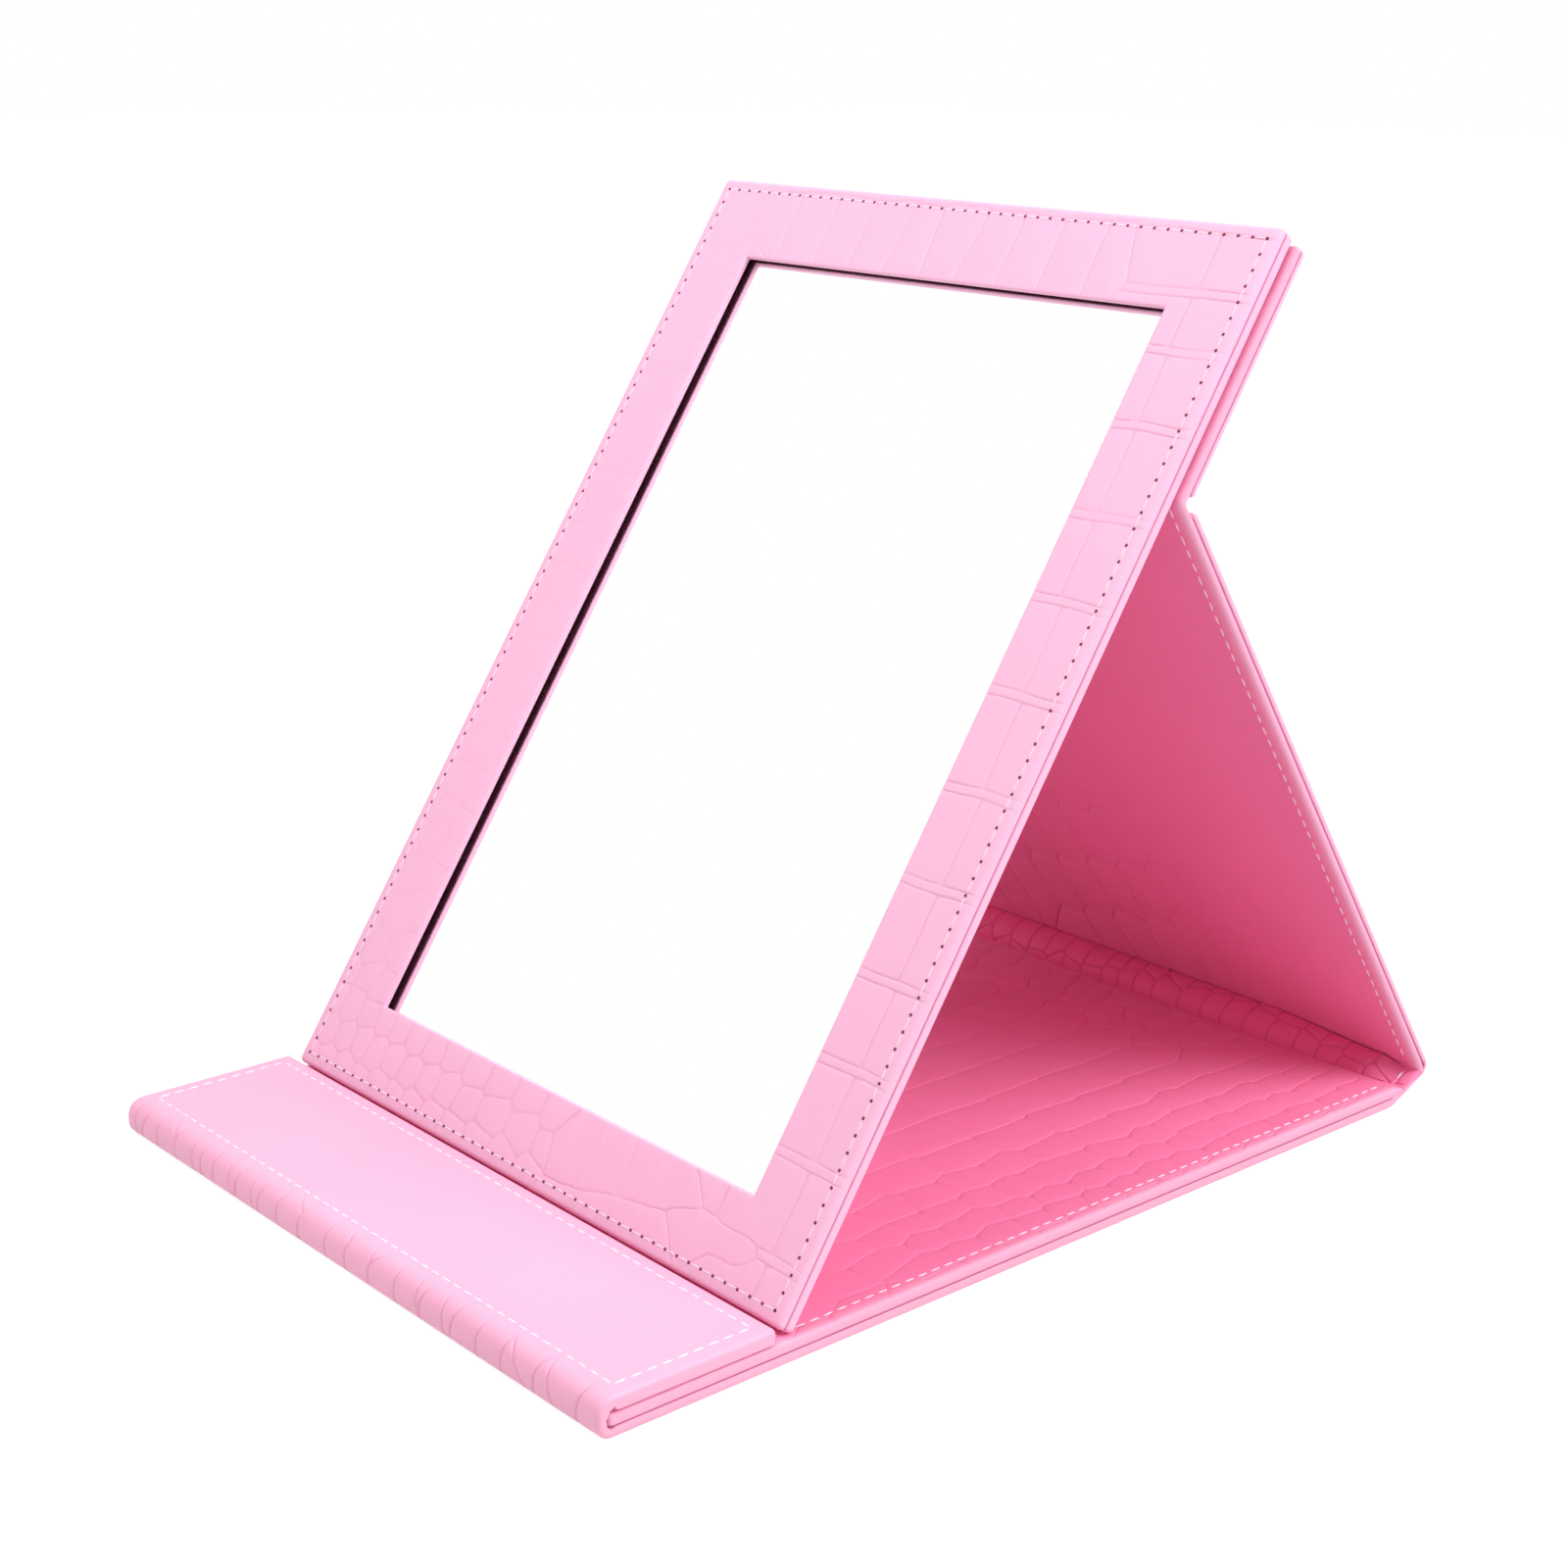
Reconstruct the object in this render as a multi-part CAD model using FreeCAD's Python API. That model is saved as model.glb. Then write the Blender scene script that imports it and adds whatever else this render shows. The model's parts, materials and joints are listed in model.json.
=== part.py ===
import FreeCAD, Part
import math
import os

# Folding makeup mirror: a folio of leather-wrapped boards that stands as an easel.
# Lengths are in millimetres and angles in degrees.
# The origin is the middle of the base's underside, with +Y to the rear and +Z up.

# Mirror panel
mirror_width = 190.0
mirror_height = 264.0
mirror_tilt = 57.0
side_border = 22.75
end_border = 22.5
frame_board_t = 1.3
glass_recess = 0.9
glass_t = 1.0
glass_overlap = 4.0
glass_clearance = 0.3
glass_tape_t = 0.15
back_board_t = 0.45
rim_r = 0.6

# Cover: base, rear spine, leg, upper panel, front spine and flap share one width
cover_overhang = 1.5
base_length = 262.0
base_board_t = 2.15
foot_setback = 46.1
foot_clearance = 0.3

# Leg and upper panel behind the mirror
leg_board_t = 1.4
leg_fold_gap = 4.0
leg_foot_gap = 2.2
upper_length = 61.9
upper_board_t = 1.3
upper_fold_gap = 1.9
upper_drop = 1.2
mount_tape_t = 0.4
mount_tape_margin = 8.0

# Rear spine
rear_spine_pitch = 11.5
rear_spine_rise = 24.0
rear_spine_board_t = 1.2

# Front spine and closing flap
flap_depth = 45.7
flap_board_t = 2.6
flap_rest_gap = 0.2
flap_ground_gap = 0.1
front_spine_cover_t = 1.0
front_spine_lining_t = 0.7
front_spine_reach = 1.4

# Closing magnets in the flap and their keepers in the upper panel
magnet_r = 6.0
magnet_t = 1.2
keeper_r = 7.0
keeper_t = 0.8
magnet_spacing = 96.0
magnet_setback = 24.0
keeper_setback = 20.0

# Leather, thread and creases
leather_t = 0.6
corner_r = 2.0
roll_r = 1.2
seam_r = 0.25
thread_width = 0.7
thread_depth = 0.25
stitch_margin = 3.2
rear_crease_r = 1.2
front_crease_r = 0.9
crease_web_t = 1.2
running_gap = 0.3
plane_tolerance = 0.001

# Thicknesses worked out from the layers
base_layer_t = leather_t + base_board_t
base_t = 2 * base_layer_t
leg_layer_t = leather_t + leg_board_t
upper_layer_t = leather_t + upper_board_t
upper_t = 2 * upper_layer_t
front_layer_t = leather_t + frame_board_t
glass_stack_t = glass_recess + glass_t + glass_tape_t
mirror_t = front_layer_t + glass_stack_t + back_board_t + leather_t
flap_t = leather_t + flap_board_t + leather_t
rear_spine_t = leather_t + rear_spine_board_t + leather_t

# Panel sizes worked out from the mirror's
cover_width = mirror_width + 2 * cover_overhang
window_width = mirror_width - 2 * side_border
window_low = end_border
window_high = mirror_height - end_border
upper_high = mirror_height - upper_drop
upper_low = upper_high - upper_length
fold_height = upper_low - upper_fold_gap

Vector = FreeCAD.Vector
X_AXIS = Vector(1, 0, 0)


def along(point, angle, distance, lift=0):
    """The point a distance along a slope from a (y, z) point, and a lift square to it."""
    turn = math.radians(angle)
    y = point[0] + distance * math.cos(turn) - lift * math.sin(turn)
    z = point[1] + distance * math.sin(turn) + lift * math.cos(turn)
    return (y, z)


# Hinge places in the (y, z) plane
base_front = -base_length / 2
base_rear = base_length / 2
rear_axis = (base_rear + rear_crease_r, base_t / 2)
leg_axis = along(rear_axis, rear_spine_rise, rear_spine_pitch)
tilt_sine = math.sin(math.radians(mirror_tilt))
tilt_cosine = math.cos(math.radians(mirror_tilt))
foot_round = roll_r * (tilt_sine + tilt_cosine - 1)
foot_lift = base_t + foot_clearance + mirror_t * tilt_cosine - foot_round
mirror_foot = (base_front + foot_setback, foot_lift)
upper_mid = -(mirror_t + mount_tape_t + upper_layer_t)
fold_axis = along(mirror_foot, mirror_tilt, fold_height, upper_mid)
leg_rise = fold_axis[1] - leg_axis[1]
leg_run = fold_axis[0] - leg_axis[0]
leg_length = math.hypot(leg_run, leg_rise)
leg_angle = math.degrees(math.atan2(leg_rise, leg_run))
front_end_gap = front_crease_r + running_gap
front_axis = (base_front - front_end_gap, flap_t / 2 + flap_ground_gap)
flap_axis = (front_axis[0], base_t + flap_rest_gap + flap_t / 2)
front_spine_length = flap_axis[1] - front_axis[1]


def frame_at(point, angle):
    """A panel's own frame: x across, v along its slope and w square to it."""
    return FreeCAD.Placement(Vector(0, point[0], point[1]), FreeCAD.Rotation(X_AXIS, angle))


BASE = frame_at((base_front, 0), 0)
REAR_SPINE = frame_at(rear_axis, rear_spine_rise)
LEG = frame_at(leg_axis, leg_angle)
MIRROR = frame_at(mirror_foot, mirror_tilt)
FRONT_SPINE = frame_at(front_axis, 90)
FLAP = frame_at(flap_axis, 0)


def save(name, shape, frame):
    """Puts a piece in its place on the mirror and writes it."""
    placed = shape.copy()
    placed.Placement = frame
    placed.exportStep("parts/" + name + ".step")


def block(width, v_low, v_high, w_one, w_two):
    """A box centred across the panel, between two places along it and two across it."""
    low = min(w_one, w_two)
    thickness = abs(w_two - w_one)
    corner = Vector(-width / 2, v_low, low)
    return Part.makeBox(width, v_high - v_low, thickness, corner)


def edges_in_plane(shape, w):
    """The edges that lie in the plane at one place across the panel."""
    found = []
    for edge in shape.Edges:
        box = edge.BoundBox
        if abs(box.ZMin - w) < plane_tolerance and abs(box.ZMax - w) < plane_tolerance:
            found.append(edge)
    return found


def upright_edges(shape):
    """The edges that run square to the panel's faces."""
    return [edge for edge in shape.Edges if edge.BoundBox.ZLength > edge.Length - plane_tolerance]


def rounded_block(width, v_low, v_high, w_one, w_two, radius):
    """A box with its four upright corners rounded."""
    plain = block(width, v_low, v_high, w_one, w_two)
    return plain.makeFillet(radius, upright_edges(plain))


def rolled_slab(width, v_low, v_high, seam, face):
    """A layer whose leather rolls over the edge of its face and is turned in at the seam."""
    slab = rounded_block(width, v_low, v_high, seam, face, corner_r)
    slab = slab.makeFillet(roll_r, edges_in_plane(slab, face))
    return slab.makeFillet(seam_r, edges_in_plane(slab, seam))


def inside_leather(width, v_low, v_high, w_one, w_two):
    """The room for a board inside a layer's turned-in leather."""
    inner_r = corner_r - leather_t
    inner_width = width - 2 * leather_t
    return rounded_block(inner_width, v_low + leather_t, v_high - leather_t, w_one, w_two, inner_r)


def wrapped_board(width, v_low, v_high, seam, face):
    """A leather cover and the board that fills it up to the seam."""
    inward = leather_t if seam > face else -leather_t
    board = inside_leather(width, v_low, v_high, seam, face + inward)
    cover = rolled_slab(width, v_low, v_high, seam, face).cut(board)
    return cover, board


def thread_ring(width, v_low, v_high, face, depth):
    """A row of stitches round a panel, let in flush with the leather."""
    outer_width = width - 2 * stitch_margin + thread_width
    outer_low = v_low + stitch_margin - thread_width / 2
    outer_high = v_high - stitch_margin + thread_width / 2
    inner_width = outer_width - 2 * thread_width
    outer = block(outer_width, outer_low, outer_high, face, face + depth)
    inner = block(inner_width, outer_low + thread_width, outer_high - thread_width, face, face + depth)
    return outer.cut(inner)


def discs(radius, v, w_low, height):
    """A pair of discs side by side across a panel."""
    pair = []
    for side in (-1, 1):
        centre = Vector(side * magnet_spacing / 2, v, w_low)
        pair.append(Part.makeCylinder(radius, height, centre))
    return Part.makeCompound(pair)


def crease(radius, web_length):
    """A rolled crease along a hinge, with the leather web that joins it to its panel."""
    start = Vector(-cover_width / 2, 0, 0)
    bead = Part.makeCylinder(radius, cover_width, start, X_AXIS)
    web = block(cover_width, -web_length, 0, -crease_web_t / 2, crease_web_t / 2)
    return bead.fuse(web).removeSplitter()


def make_base():
    """The panel that lies on the table, with the creases at its two ends."""
    size = (cover_width, 0, base_length)
    outer_cover, board = wrapped_board(*size, base_layer_t, 0)
    inner_cover, liner_board = wrapped_board(*size, base_layer_t, base_t)
    thread = thread_ring(*size, base_t, -thread_depth)
    save("base_outer_cover", outer_cover, BASE)
    save("base_board", board, BASE)
    save("base_liner_board", liner_board, BASE)
    save("base_inner_cover", inner_cover.cut(thread), BASE)
    save("base_thread", thread, BASE)
    save("base_rear_crease", crease(rear_crease_r, rear_crease_r), frame_at(rear_axis, 0))
    save("base_front_crease", crease(front_crease_r, front_end_gap), frame_at(front_axis, 180))


def make_rear_spine():
    """The narrow strip that lets the leg fold over the thickness of the closed folio."""
    v_low = rear_crease_r + running_gap
    v_high = rear_spine_pitch - rear_crease_r
    outside = -rear_spine_t / 2
    seam = rear_spine_t / 2 - leather_t
    cover, board = wrapped_board(cover_width, v_low, v_high, seam, outside)
    lining = rounded_block(cover_width, v_low, v_high, seam, rear_spine_t / 2, corner_r)
    save("rear_spine_cover", cover, REAR_SPINE)
    save("rear_spine_board", board, REAR_SPINE)
    save("rear_spine_lining", lining, REAR_SPINE)
    save("leg_hinge_crease", crease(rear_crease_r, rear_crease_r), frame_at(leg_axis, rear_spine_rise))


def make_leg():
    """The prop that leans from the rear spine up to the back of the mirror."""
    size = (cover_width, leg_foot_gap, leg_length - leg_fold_gap)
    outer_cover, board = wrapped_board(*size, 0, -leg_layer_t)
    inner_cover, liner_board = wrapped_board(*size, 0, leg_layer_t)
    thread = thread_ring(*size, leg_layer_t, -thread_depth)
    save("leg_outer_cover", outer_cover, LEG)
    save("leg_board", board, LEG)
    save("leg_liner_board", liner_board, LEG)
    save("leg_inner_cover", inner_cover.cut(thread), LEG)
    save("leg_thread", thread, LEG)
    save("leg_fold_crease", crease(rear_crease_r, leg_fold_gap), frame_at(fold_axis, leg_angle))


def make_upper_panel():
    """The short panel above the fold, taped to the mirror's back."""
    size = (cover_width, upper_low, upper_high)
    inside = upper_mid + upper_layer_t
    outside = upper_mid - upper_layer_t
    outer_cover, board = wrapped_board(*size, upper_mid, outside)
    inner_cover, liner_board = wrapped_board(*size, upper_mid, inside)
    thread = thread_ring(*size, outside, thread_depth)
    keepers = discs(keeper_r, upper_high - keeper_setback, outside + leather_t, keeper_t)
    tape_width = cover_width - 2 * mount_tape_margin
    tape_low = upper_low + mount_tape_margin
    tape_high = upper_high - mount_tape_margin
    tape = block(tape_width, tape_low, tape_high, inside, inside + mount_tape_t)
    save("upper_outer_cover", outer_cover.cut(thread), MIRROR)
    save("upper_board", board.cut(keepers), MIRROR)
    save("upper_liner_board", liner_board, MIRROR)
    save("upper_inner_cover", inner_cover, MIRROR)
    save("upper_thread", thread, MIRROR)
    save("closure_keepers", keepers, MIRROR)
    save("mount_tape", tape, MIRROR)


def window_block(grow, w_one, w_two):
    """The window's opening, grown by the same amount on all four sides."""
    return block(window_width + 2 * grow, window_low - grow, window_high + grow, w_one, w_two)


def make_mirror_front():
    """The stitched frame of leather over four boards, round the window."""
    seam = -front_layer_t
    size = (mirror_width, 0, mirror_height)
    cover = rolled_slab(*size, seam, 0).cut(window_block(0, seam, 0))
    half = window_width / 2 + plane_tolerance
    rim = [edge for edge in edges_in_plane(cover, 0) if edge.BoundBox.XMax < half]
    rim = [edge for edge in rim if edge.BoundBox.XMin > -half]
    rim = [edge for edge in rim if edge.BoundBox.YMin > window_low - plane_tolerance]
    rim = [edge for edge in rim if edge.BoundBox.YMax < window_high + plane_tolerance]
    cover = cover.makeFillet(rim_r, rim)
    room = inside_leather(*size, seam, -leather_t).cut(window_block(leather_t, seam, -leather_t))
    thread = thread_ring(*size, 0, -thread_depth)
    save("mirror_front_cover", cover.cut(room).cut(thread), MIRROR)
    save("mirror_thread", thread, MIRROR)
    low = window_low - leather_t
    high = window_high + leather_t
    side = mirror_width / 2
    save("frame_board_bottom", room.common(block(mirror_width, 0, low, seam, 0)), MIRROR)
    save("frame_board_top", room.common(block(mirror_width, high, mirror_height, seam, 0)), MIRROR)
    left = Part.makeBox(side, high - low, front_layer_t, Vector(-side, low, seam))
    right = Part.makeBox(side, high - low, front_layer_t, Vector(0, low, seam))
    save("frame_board_left", room.common(left), MIRROR)
    save("frame_board_right", room.common(right), MIRROR)


def make_mirror_back():
    """The glass in its card surround, and the leather-covered back it is taped to."""
    seam = -front_layer_t
    size = (mirror_width, 0, mirror_height)
    glass_face = seam - glass_recess
    glass_back = glass_face - glass_t
    board_face = seam - glass_stack_t
    inside = -mirror_t + leather_t
    room = inside_leather(*size, seam, inside)
    surround = inside_leather(*size, seam, board_face)
    surround = surround.cut(window_block(glass_overlap + glass_clearance, seam, board_face))
    save("mirror_back_cover", rolled_slab(*size, seam, -mirror_t).cut(room), MIRROR)
    save("mirror_back_board", inside_leather(*size, board_face, inside), MIRROR)
    save("glass_surround", surround, MIRROR)
    save("glass_tape", window_block(glass_overlap, glass_back, board_face), MIRROR)
    save("mirror_glass", window_block(glass_overlap, glass_face, glass_back), MIRROR)


def make_front_spine():
    """The short strip that carries the flap up and over the base's front edge."""
    v_low = front_end_gap
    v_high = front_spine_length - front_crease_r
    outside = front_spine_reach
    seam = outside - front_spine_cover_t
    inside = seam - front_spine_lining_t
    save("front_spine_cover", block(cover_width, v_low, v_high, seam, outside), FRONT_SPINE)
    save("front_spine_lining", block(cover_width, v_low, v_high, inside, seam), FRONT_SPINE)
    save("flap_hinge_crease", crease(front_crease_r, front_crease_r), frame_at(flap_axis, 90))


def make_flap():
    """The closing flap, folded back on the base as a stop for the mirror's foot."""
    size = (cover_width, front_end_gap, flap_depth)
    top = flap_t / 2
    seam = leather_t - flap_t / 2
    cover, board = wrapped_board(*size, seam, top)
    lining = rounded_block(*size, seam, -flap_t / 2, corner_r)
    thread = thread_ring(*size, top, -thread_depth)
    magnets = discs(magnet_r, magnet_setback, seam, magnet_t)
    save("flap_top_cover", cover.cut(thread), FLAP)
    save("flap_board", board.cut(magnets), FLAP)
    save("flap_lining", lining, FLAP)
    save("flap_thread", thread, FLAP)
    save("flap_magnets", magnets, FLAP)


os.makedirs("parts", exist_ok=True)
make_base()
make_rear_spine()
make_leg()
make_upper_panel()
make_mirror_front()
make_mirror_back()
make_front_spine()
make_flap()

# The hinge lines, as (y, z), and the slopes of the standing panels
print("rear_axis", rear_axis)
print("leg_axis", leg_axis)
print("fold_axis", fold_axis)
print("front_axis", front_axis)
print("flap_axis", flap_axis)
print("leg_angle", leg_angle, "leg_length", leg_length)
print("mirror_foot", mirror_foot, "mirror_t", mirror_t)
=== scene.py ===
"""Folding makeup mirror: the looks of its embossed leather folio, its stitching and its glass."""

import json
import math
import random

import bmesh
import bpy
from mathutils import Matrix, Vector, kdtree, noise
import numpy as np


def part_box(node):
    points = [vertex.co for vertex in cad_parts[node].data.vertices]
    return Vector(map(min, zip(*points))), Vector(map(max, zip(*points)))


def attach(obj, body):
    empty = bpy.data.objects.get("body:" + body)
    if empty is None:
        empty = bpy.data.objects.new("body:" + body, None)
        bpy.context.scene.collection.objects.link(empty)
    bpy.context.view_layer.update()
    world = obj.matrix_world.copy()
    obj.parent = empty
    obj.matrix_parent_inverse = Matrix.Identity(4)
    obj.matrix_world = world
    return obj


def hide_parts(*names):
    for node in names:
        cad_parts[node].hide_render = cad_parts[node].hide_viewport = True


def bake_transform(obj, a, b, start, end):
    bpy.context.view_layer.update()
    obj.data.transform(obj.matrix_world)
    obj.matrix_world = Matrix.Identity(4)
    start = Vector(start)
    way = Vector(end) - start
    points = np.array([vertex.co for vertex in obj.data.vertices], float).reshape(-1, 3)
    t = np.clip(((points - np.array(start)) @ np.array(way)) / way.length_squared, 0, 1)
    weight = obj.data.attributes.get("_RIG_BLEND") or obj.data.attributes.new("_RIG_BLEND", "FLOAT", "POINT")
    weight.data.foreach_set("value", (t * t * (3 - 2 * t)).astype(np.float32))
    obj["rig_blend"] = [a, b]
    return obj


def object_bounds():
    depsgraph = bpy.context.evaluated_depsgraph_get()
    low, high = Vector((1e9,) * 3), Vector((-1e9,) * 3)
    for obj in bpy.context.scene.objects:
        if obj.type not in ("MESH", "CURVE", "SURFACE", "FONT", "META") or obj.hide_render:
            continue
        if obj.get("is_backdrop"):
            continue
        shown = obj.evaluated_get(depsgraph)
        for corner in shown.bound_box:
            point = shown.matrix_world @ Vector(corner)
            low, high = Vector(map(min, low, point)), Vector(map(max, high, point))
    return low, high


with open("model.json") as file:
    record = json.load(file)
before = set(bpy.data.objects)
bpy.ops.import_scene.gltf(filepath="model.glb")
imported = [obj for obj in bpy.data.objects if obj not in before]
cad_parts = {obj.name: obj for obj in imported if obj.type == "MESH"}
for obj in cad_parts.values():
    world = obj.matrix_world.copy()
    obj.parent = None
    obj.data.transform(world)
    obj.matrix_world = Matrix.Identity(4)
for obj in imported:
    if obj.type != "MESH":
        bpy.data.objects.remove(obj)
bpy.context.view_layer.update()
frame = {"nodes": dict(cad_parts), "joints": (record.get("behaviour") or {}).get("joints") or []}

bl_info = {
    "name": "Folding makeup mirror",
    "version": (1, 0, 0),
    "blender": (4, 5, 0),
    "location": "3D View > Sidebar > Makeup mirror",
    "description": "Dresses the folding mirror's boards in embossed leather, thread and glass",
    "category": "Object",
}

MM = 0.001
FOLD_STEP = math.radians(11)  # the largest turn between two samples of a fold
CREASE_FOOT = 0.22  # the share of a crease's depth that is left at its half width
CREASE_SHADE_SHARE = 0.3  # how much of the crease colour, a painted shade, a crease takes on
SEAM_SHADE = 2.6  # how much more painted shade shows in a seam than in a crease
LINING_GLOSS = 0.18  # the lining is duller than the cover
SIDE_MARGIN = 12 * MM  # how far a pattern runs on past a panel's sides
END_MARGIN = 14 * MM  # how far it runs on past a panel's ends
NEAR = 70 * MM  # how far beyond a piece the pattern still shapes its scales
BELLY_COLUMNS = [12.3 * k for k in range(-9, 10)]  # the creases between columns of belly scales, in mm
CAD_THREAD = 0.35 * MM  # half the width of a thread ring in the CAD part


def linear(hex_colour):
    """An sRGB hex colour as linear RGBA."""
    channels = [int(hex_colour[i : i + 2], 16) / 255 for i in (1, 3, 5)]
    return tuple(c / 12.92 if c <= 0.04045 else ((c + 0.055) / 1.055) ** 2.4 for c in channels) + (1.0,)


def length_property(name, description, millimetres):
    """A length that a user would change, given in millimetres."""
    return bpy.props.FloatProperty(
        name=name, description=description, default=millimetres * MM, min=0, unit="LENGTH", precision=5
    )


def angle_property(name, description, degrees):
    """An angle that a user would change, given in degrees."""
    return bpy.props.FloatProperty(name=name, description=description, default=math.radians(degrees), subtype="ANGLE")


def colour_property(name, description, hex_colour):
    """A colour that a user would change, given as sRGB hex."""
    return bpy.props.FloatVectorProperty(
        name=name, description=description, default=linear(hex_colour), size=4, min=0, max=1, subtype="COLOR"
    )


class LeatherSizes(bpy.types.PropertyGroup):
    """How the leather is wrapped, embossed and sewn."""

    leather: length_property("Leather", "Thickness of the leather over the boards", 0.6)
    skin: length_property("Skin", "Thickness that the leather is drawn with", 0.4)
    roll: length_property("Edge roll", "Radius where the leather rolls over a board's edge", 1.2)
    seam: length_property("Seam roll", "Radius where the leather turns in at the seam between two layers", 0.45)
    gap: length_property("Seam gap", "Half the slit between two layers of leather", 0.1)
    corner: length_property("Corner", "Radius of a panel's corners seen square on", 1.3)
    tuck: length_property("Tuck", "How far the leather turns in at the seam", 0.5)
    rim: length_property("Window rim", "Radius where the leather turns into the window", 0.6)
    reveal: length_property("Window wall", "How far the leather goes down the window's wall", 1.5)
    roll_foot: length_property("Roll's foot", "How far the spine lining's roll reaches out on the base", 12.6)
    roll_head: length_property("Roll's head", "How far that roll reaches up the leg", 8.7)
    press: length_property("Press", "How far the roll presses against the base and the leg", 0.3)
    crease: length_property("Crease depth", "Depth of the embossed creases", 0.22)
    crease_half: length_property("Crease half width", "Half the width of an embossed crease", 0.22)
    shoulder: length_property("Shoulder", "Distance from a crease to the flat of a scale", 0.65)
    step: length_property("Crease step", "Spacing of the points along a crease", 2.2)
    pitch: length_property("Stitch pitch", "Distance from one stitch to the next", 4.0)
    stitch: length_property("Stitch", "Length of thread that shows of one stitch", 2.9)
    thread: length_property("Thread", "Thickness of the sewing thread", 0.52)
    frame_stitch: length_property("Frame stitch", "Length of thread that shows on the mirror's frame", 2.9)
    frame_thread: length_property("Frame thread", "Thickness of the thread on the mirror's frame", 0.44)
    hole: length_property("Needle hole", "Radius of a needle hole in the mirror's frame", 0.42)


class FinishColours(bpy.types.PropertyGroup):
    """The colours of the finishes."""

    leather: colour_property("Leather", "Embossed leather of the cover", "#F9B0CE")
    # painted light: the mirror panel's leather is a paler copy of the cover's pink, for the light on the frame
    frame_leather: colour_property("Frame leather", "Leather of the mirror panel", "#FABBDA")
    # painted shade: the lining is drawn a deeper pink than the cover, for the shade inside the folio
    lining: colour_property("Lining", "Embossed leather inside the folio", "#FA8AB6")
    # painted shade: the roll is drawn deeper still, for the shade under the leg; its ends keep the lining's colour
    roll: colour_property("Roll", "The lining where it is stretched over the rear spine", "#FA6CA0")
    # painted shade: the crease colours darken the creases and seams, where shade falls
    crease: colour_property("Crease", "Pigment that gathers in the creases", "#E083AB")
    lining_crease_shade: colour_property("Lining crease", "Pigment in the lining's creases", "#D4608F")
    thread: colour_property("White thread", "Thread of the folio's seams", "#FFF4FA")
    pale_thread: colour_property("Pale thread", "Thread of the mirror's frame", "#FEE4F0")
    hole: colour_property("Needle hole", "Shadow in a needle hole", "#8A365C")
    board: colour_property("Board", "Grey board inside the panels", "#9A948C")
    # painted shade: the frame's boards show only in the window's gap, drawn dark plum for the shade there
    frame_board: colour_property("Frame board", "Dark board inside the mirror's frame", "#5A1C38")
    tape: colour_property("Tape", "Paper tape and card", "#E9E2D2")
    glass: colour_property("Silvering", "Silver behind the glass", "#FFFFFF")
    steel: colour_property("Steel", "Plated discs of the closure", "#C9CBCE")


class StageSettings(bpy.types.PropertyGroup):
    """The camera and the light."""

    camera_place: bpy.props.FloatVectorProperty(
        name="Camera",
        description="Where the camera stands",
        default=(0.45908, -0.41255, 0.27170),
        subtype="TRANSLATION",
    )
    camera_azimuth: angle_property("Azimuth", "Turn of the view to the left", 48.14)
    camera_elevation: angle_property("Elevation", "How far the view looks down", 16.42)
    camera_roll: angle_property("Roll", "Tilt of the picture", -1.09)
    lens: bpy.props.FloatProperty(name="Lens", description="Focal length", default=59.673, subtype="DISTANCE_CAMERA")
    sky: bpy.props.FloatProperty(name="Sky", description="Strength of the light from all round", default=0.40)
    key: bpy.props.FloatProperty(name="Key", description="Power of the large lamp above the front", default=2.85)
    fill: bpy.props.FloatProperty(name="Fill", description="Power of the lamp at the upper right", default=16.6)


# Places and slopes read from the frame


def hinge_line(name):
    """The (y, z) place of a hinge."""
    joint = next(j for j in frame["joints"] if j["name"] == name)
    return Vector(joint["pos_m"][1:])


def slope_between(start, end):
    """The slope of the line from one (y, z) place to another."""
    return math.atan2(end.y - start.y, end.x - start.x)


def heading(slope):
    """The (y, z) direction of a slope."""
    return Vector((math.cos(slope), math.sin(slope)))


def glass_slope():
    """The slope of the mirror panel, from the glass's largest face."""
    face = max(frame["nodes"]["mirror_glass"].data.polygons, key=lambda p: p.area)
    normal = face.normal if face.normal.z > 0 else -face.normal
    return math.atan2(-normal.y, normal.z)


def span(slope, *nodes):
    """The lowest and highest (x, v, w) of CAD nodes, v along a slope and w square to it."""
    turn = Matrix.Rotation(-slope, 3, "X")
    points = [turn @ v.co for n in nodes for v in frame["nodes"][n].data.vertices]
    low = Vector([min(p[i] for p in points) for i in range(3)])
    high = Vector([max(p[i] for p in points) for i in range(3)])
    return low, high


def on_slope(slope, v, w):
    """The (y, z) place at v along a slope and w square to it."""
    return Vector((v * math.cos(slope) - w * math.sin(slope), v * math.sin(slope) + w * math.cos(slope)))


# The line that a sheet of leather follows in the (y, z) plane


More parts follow.
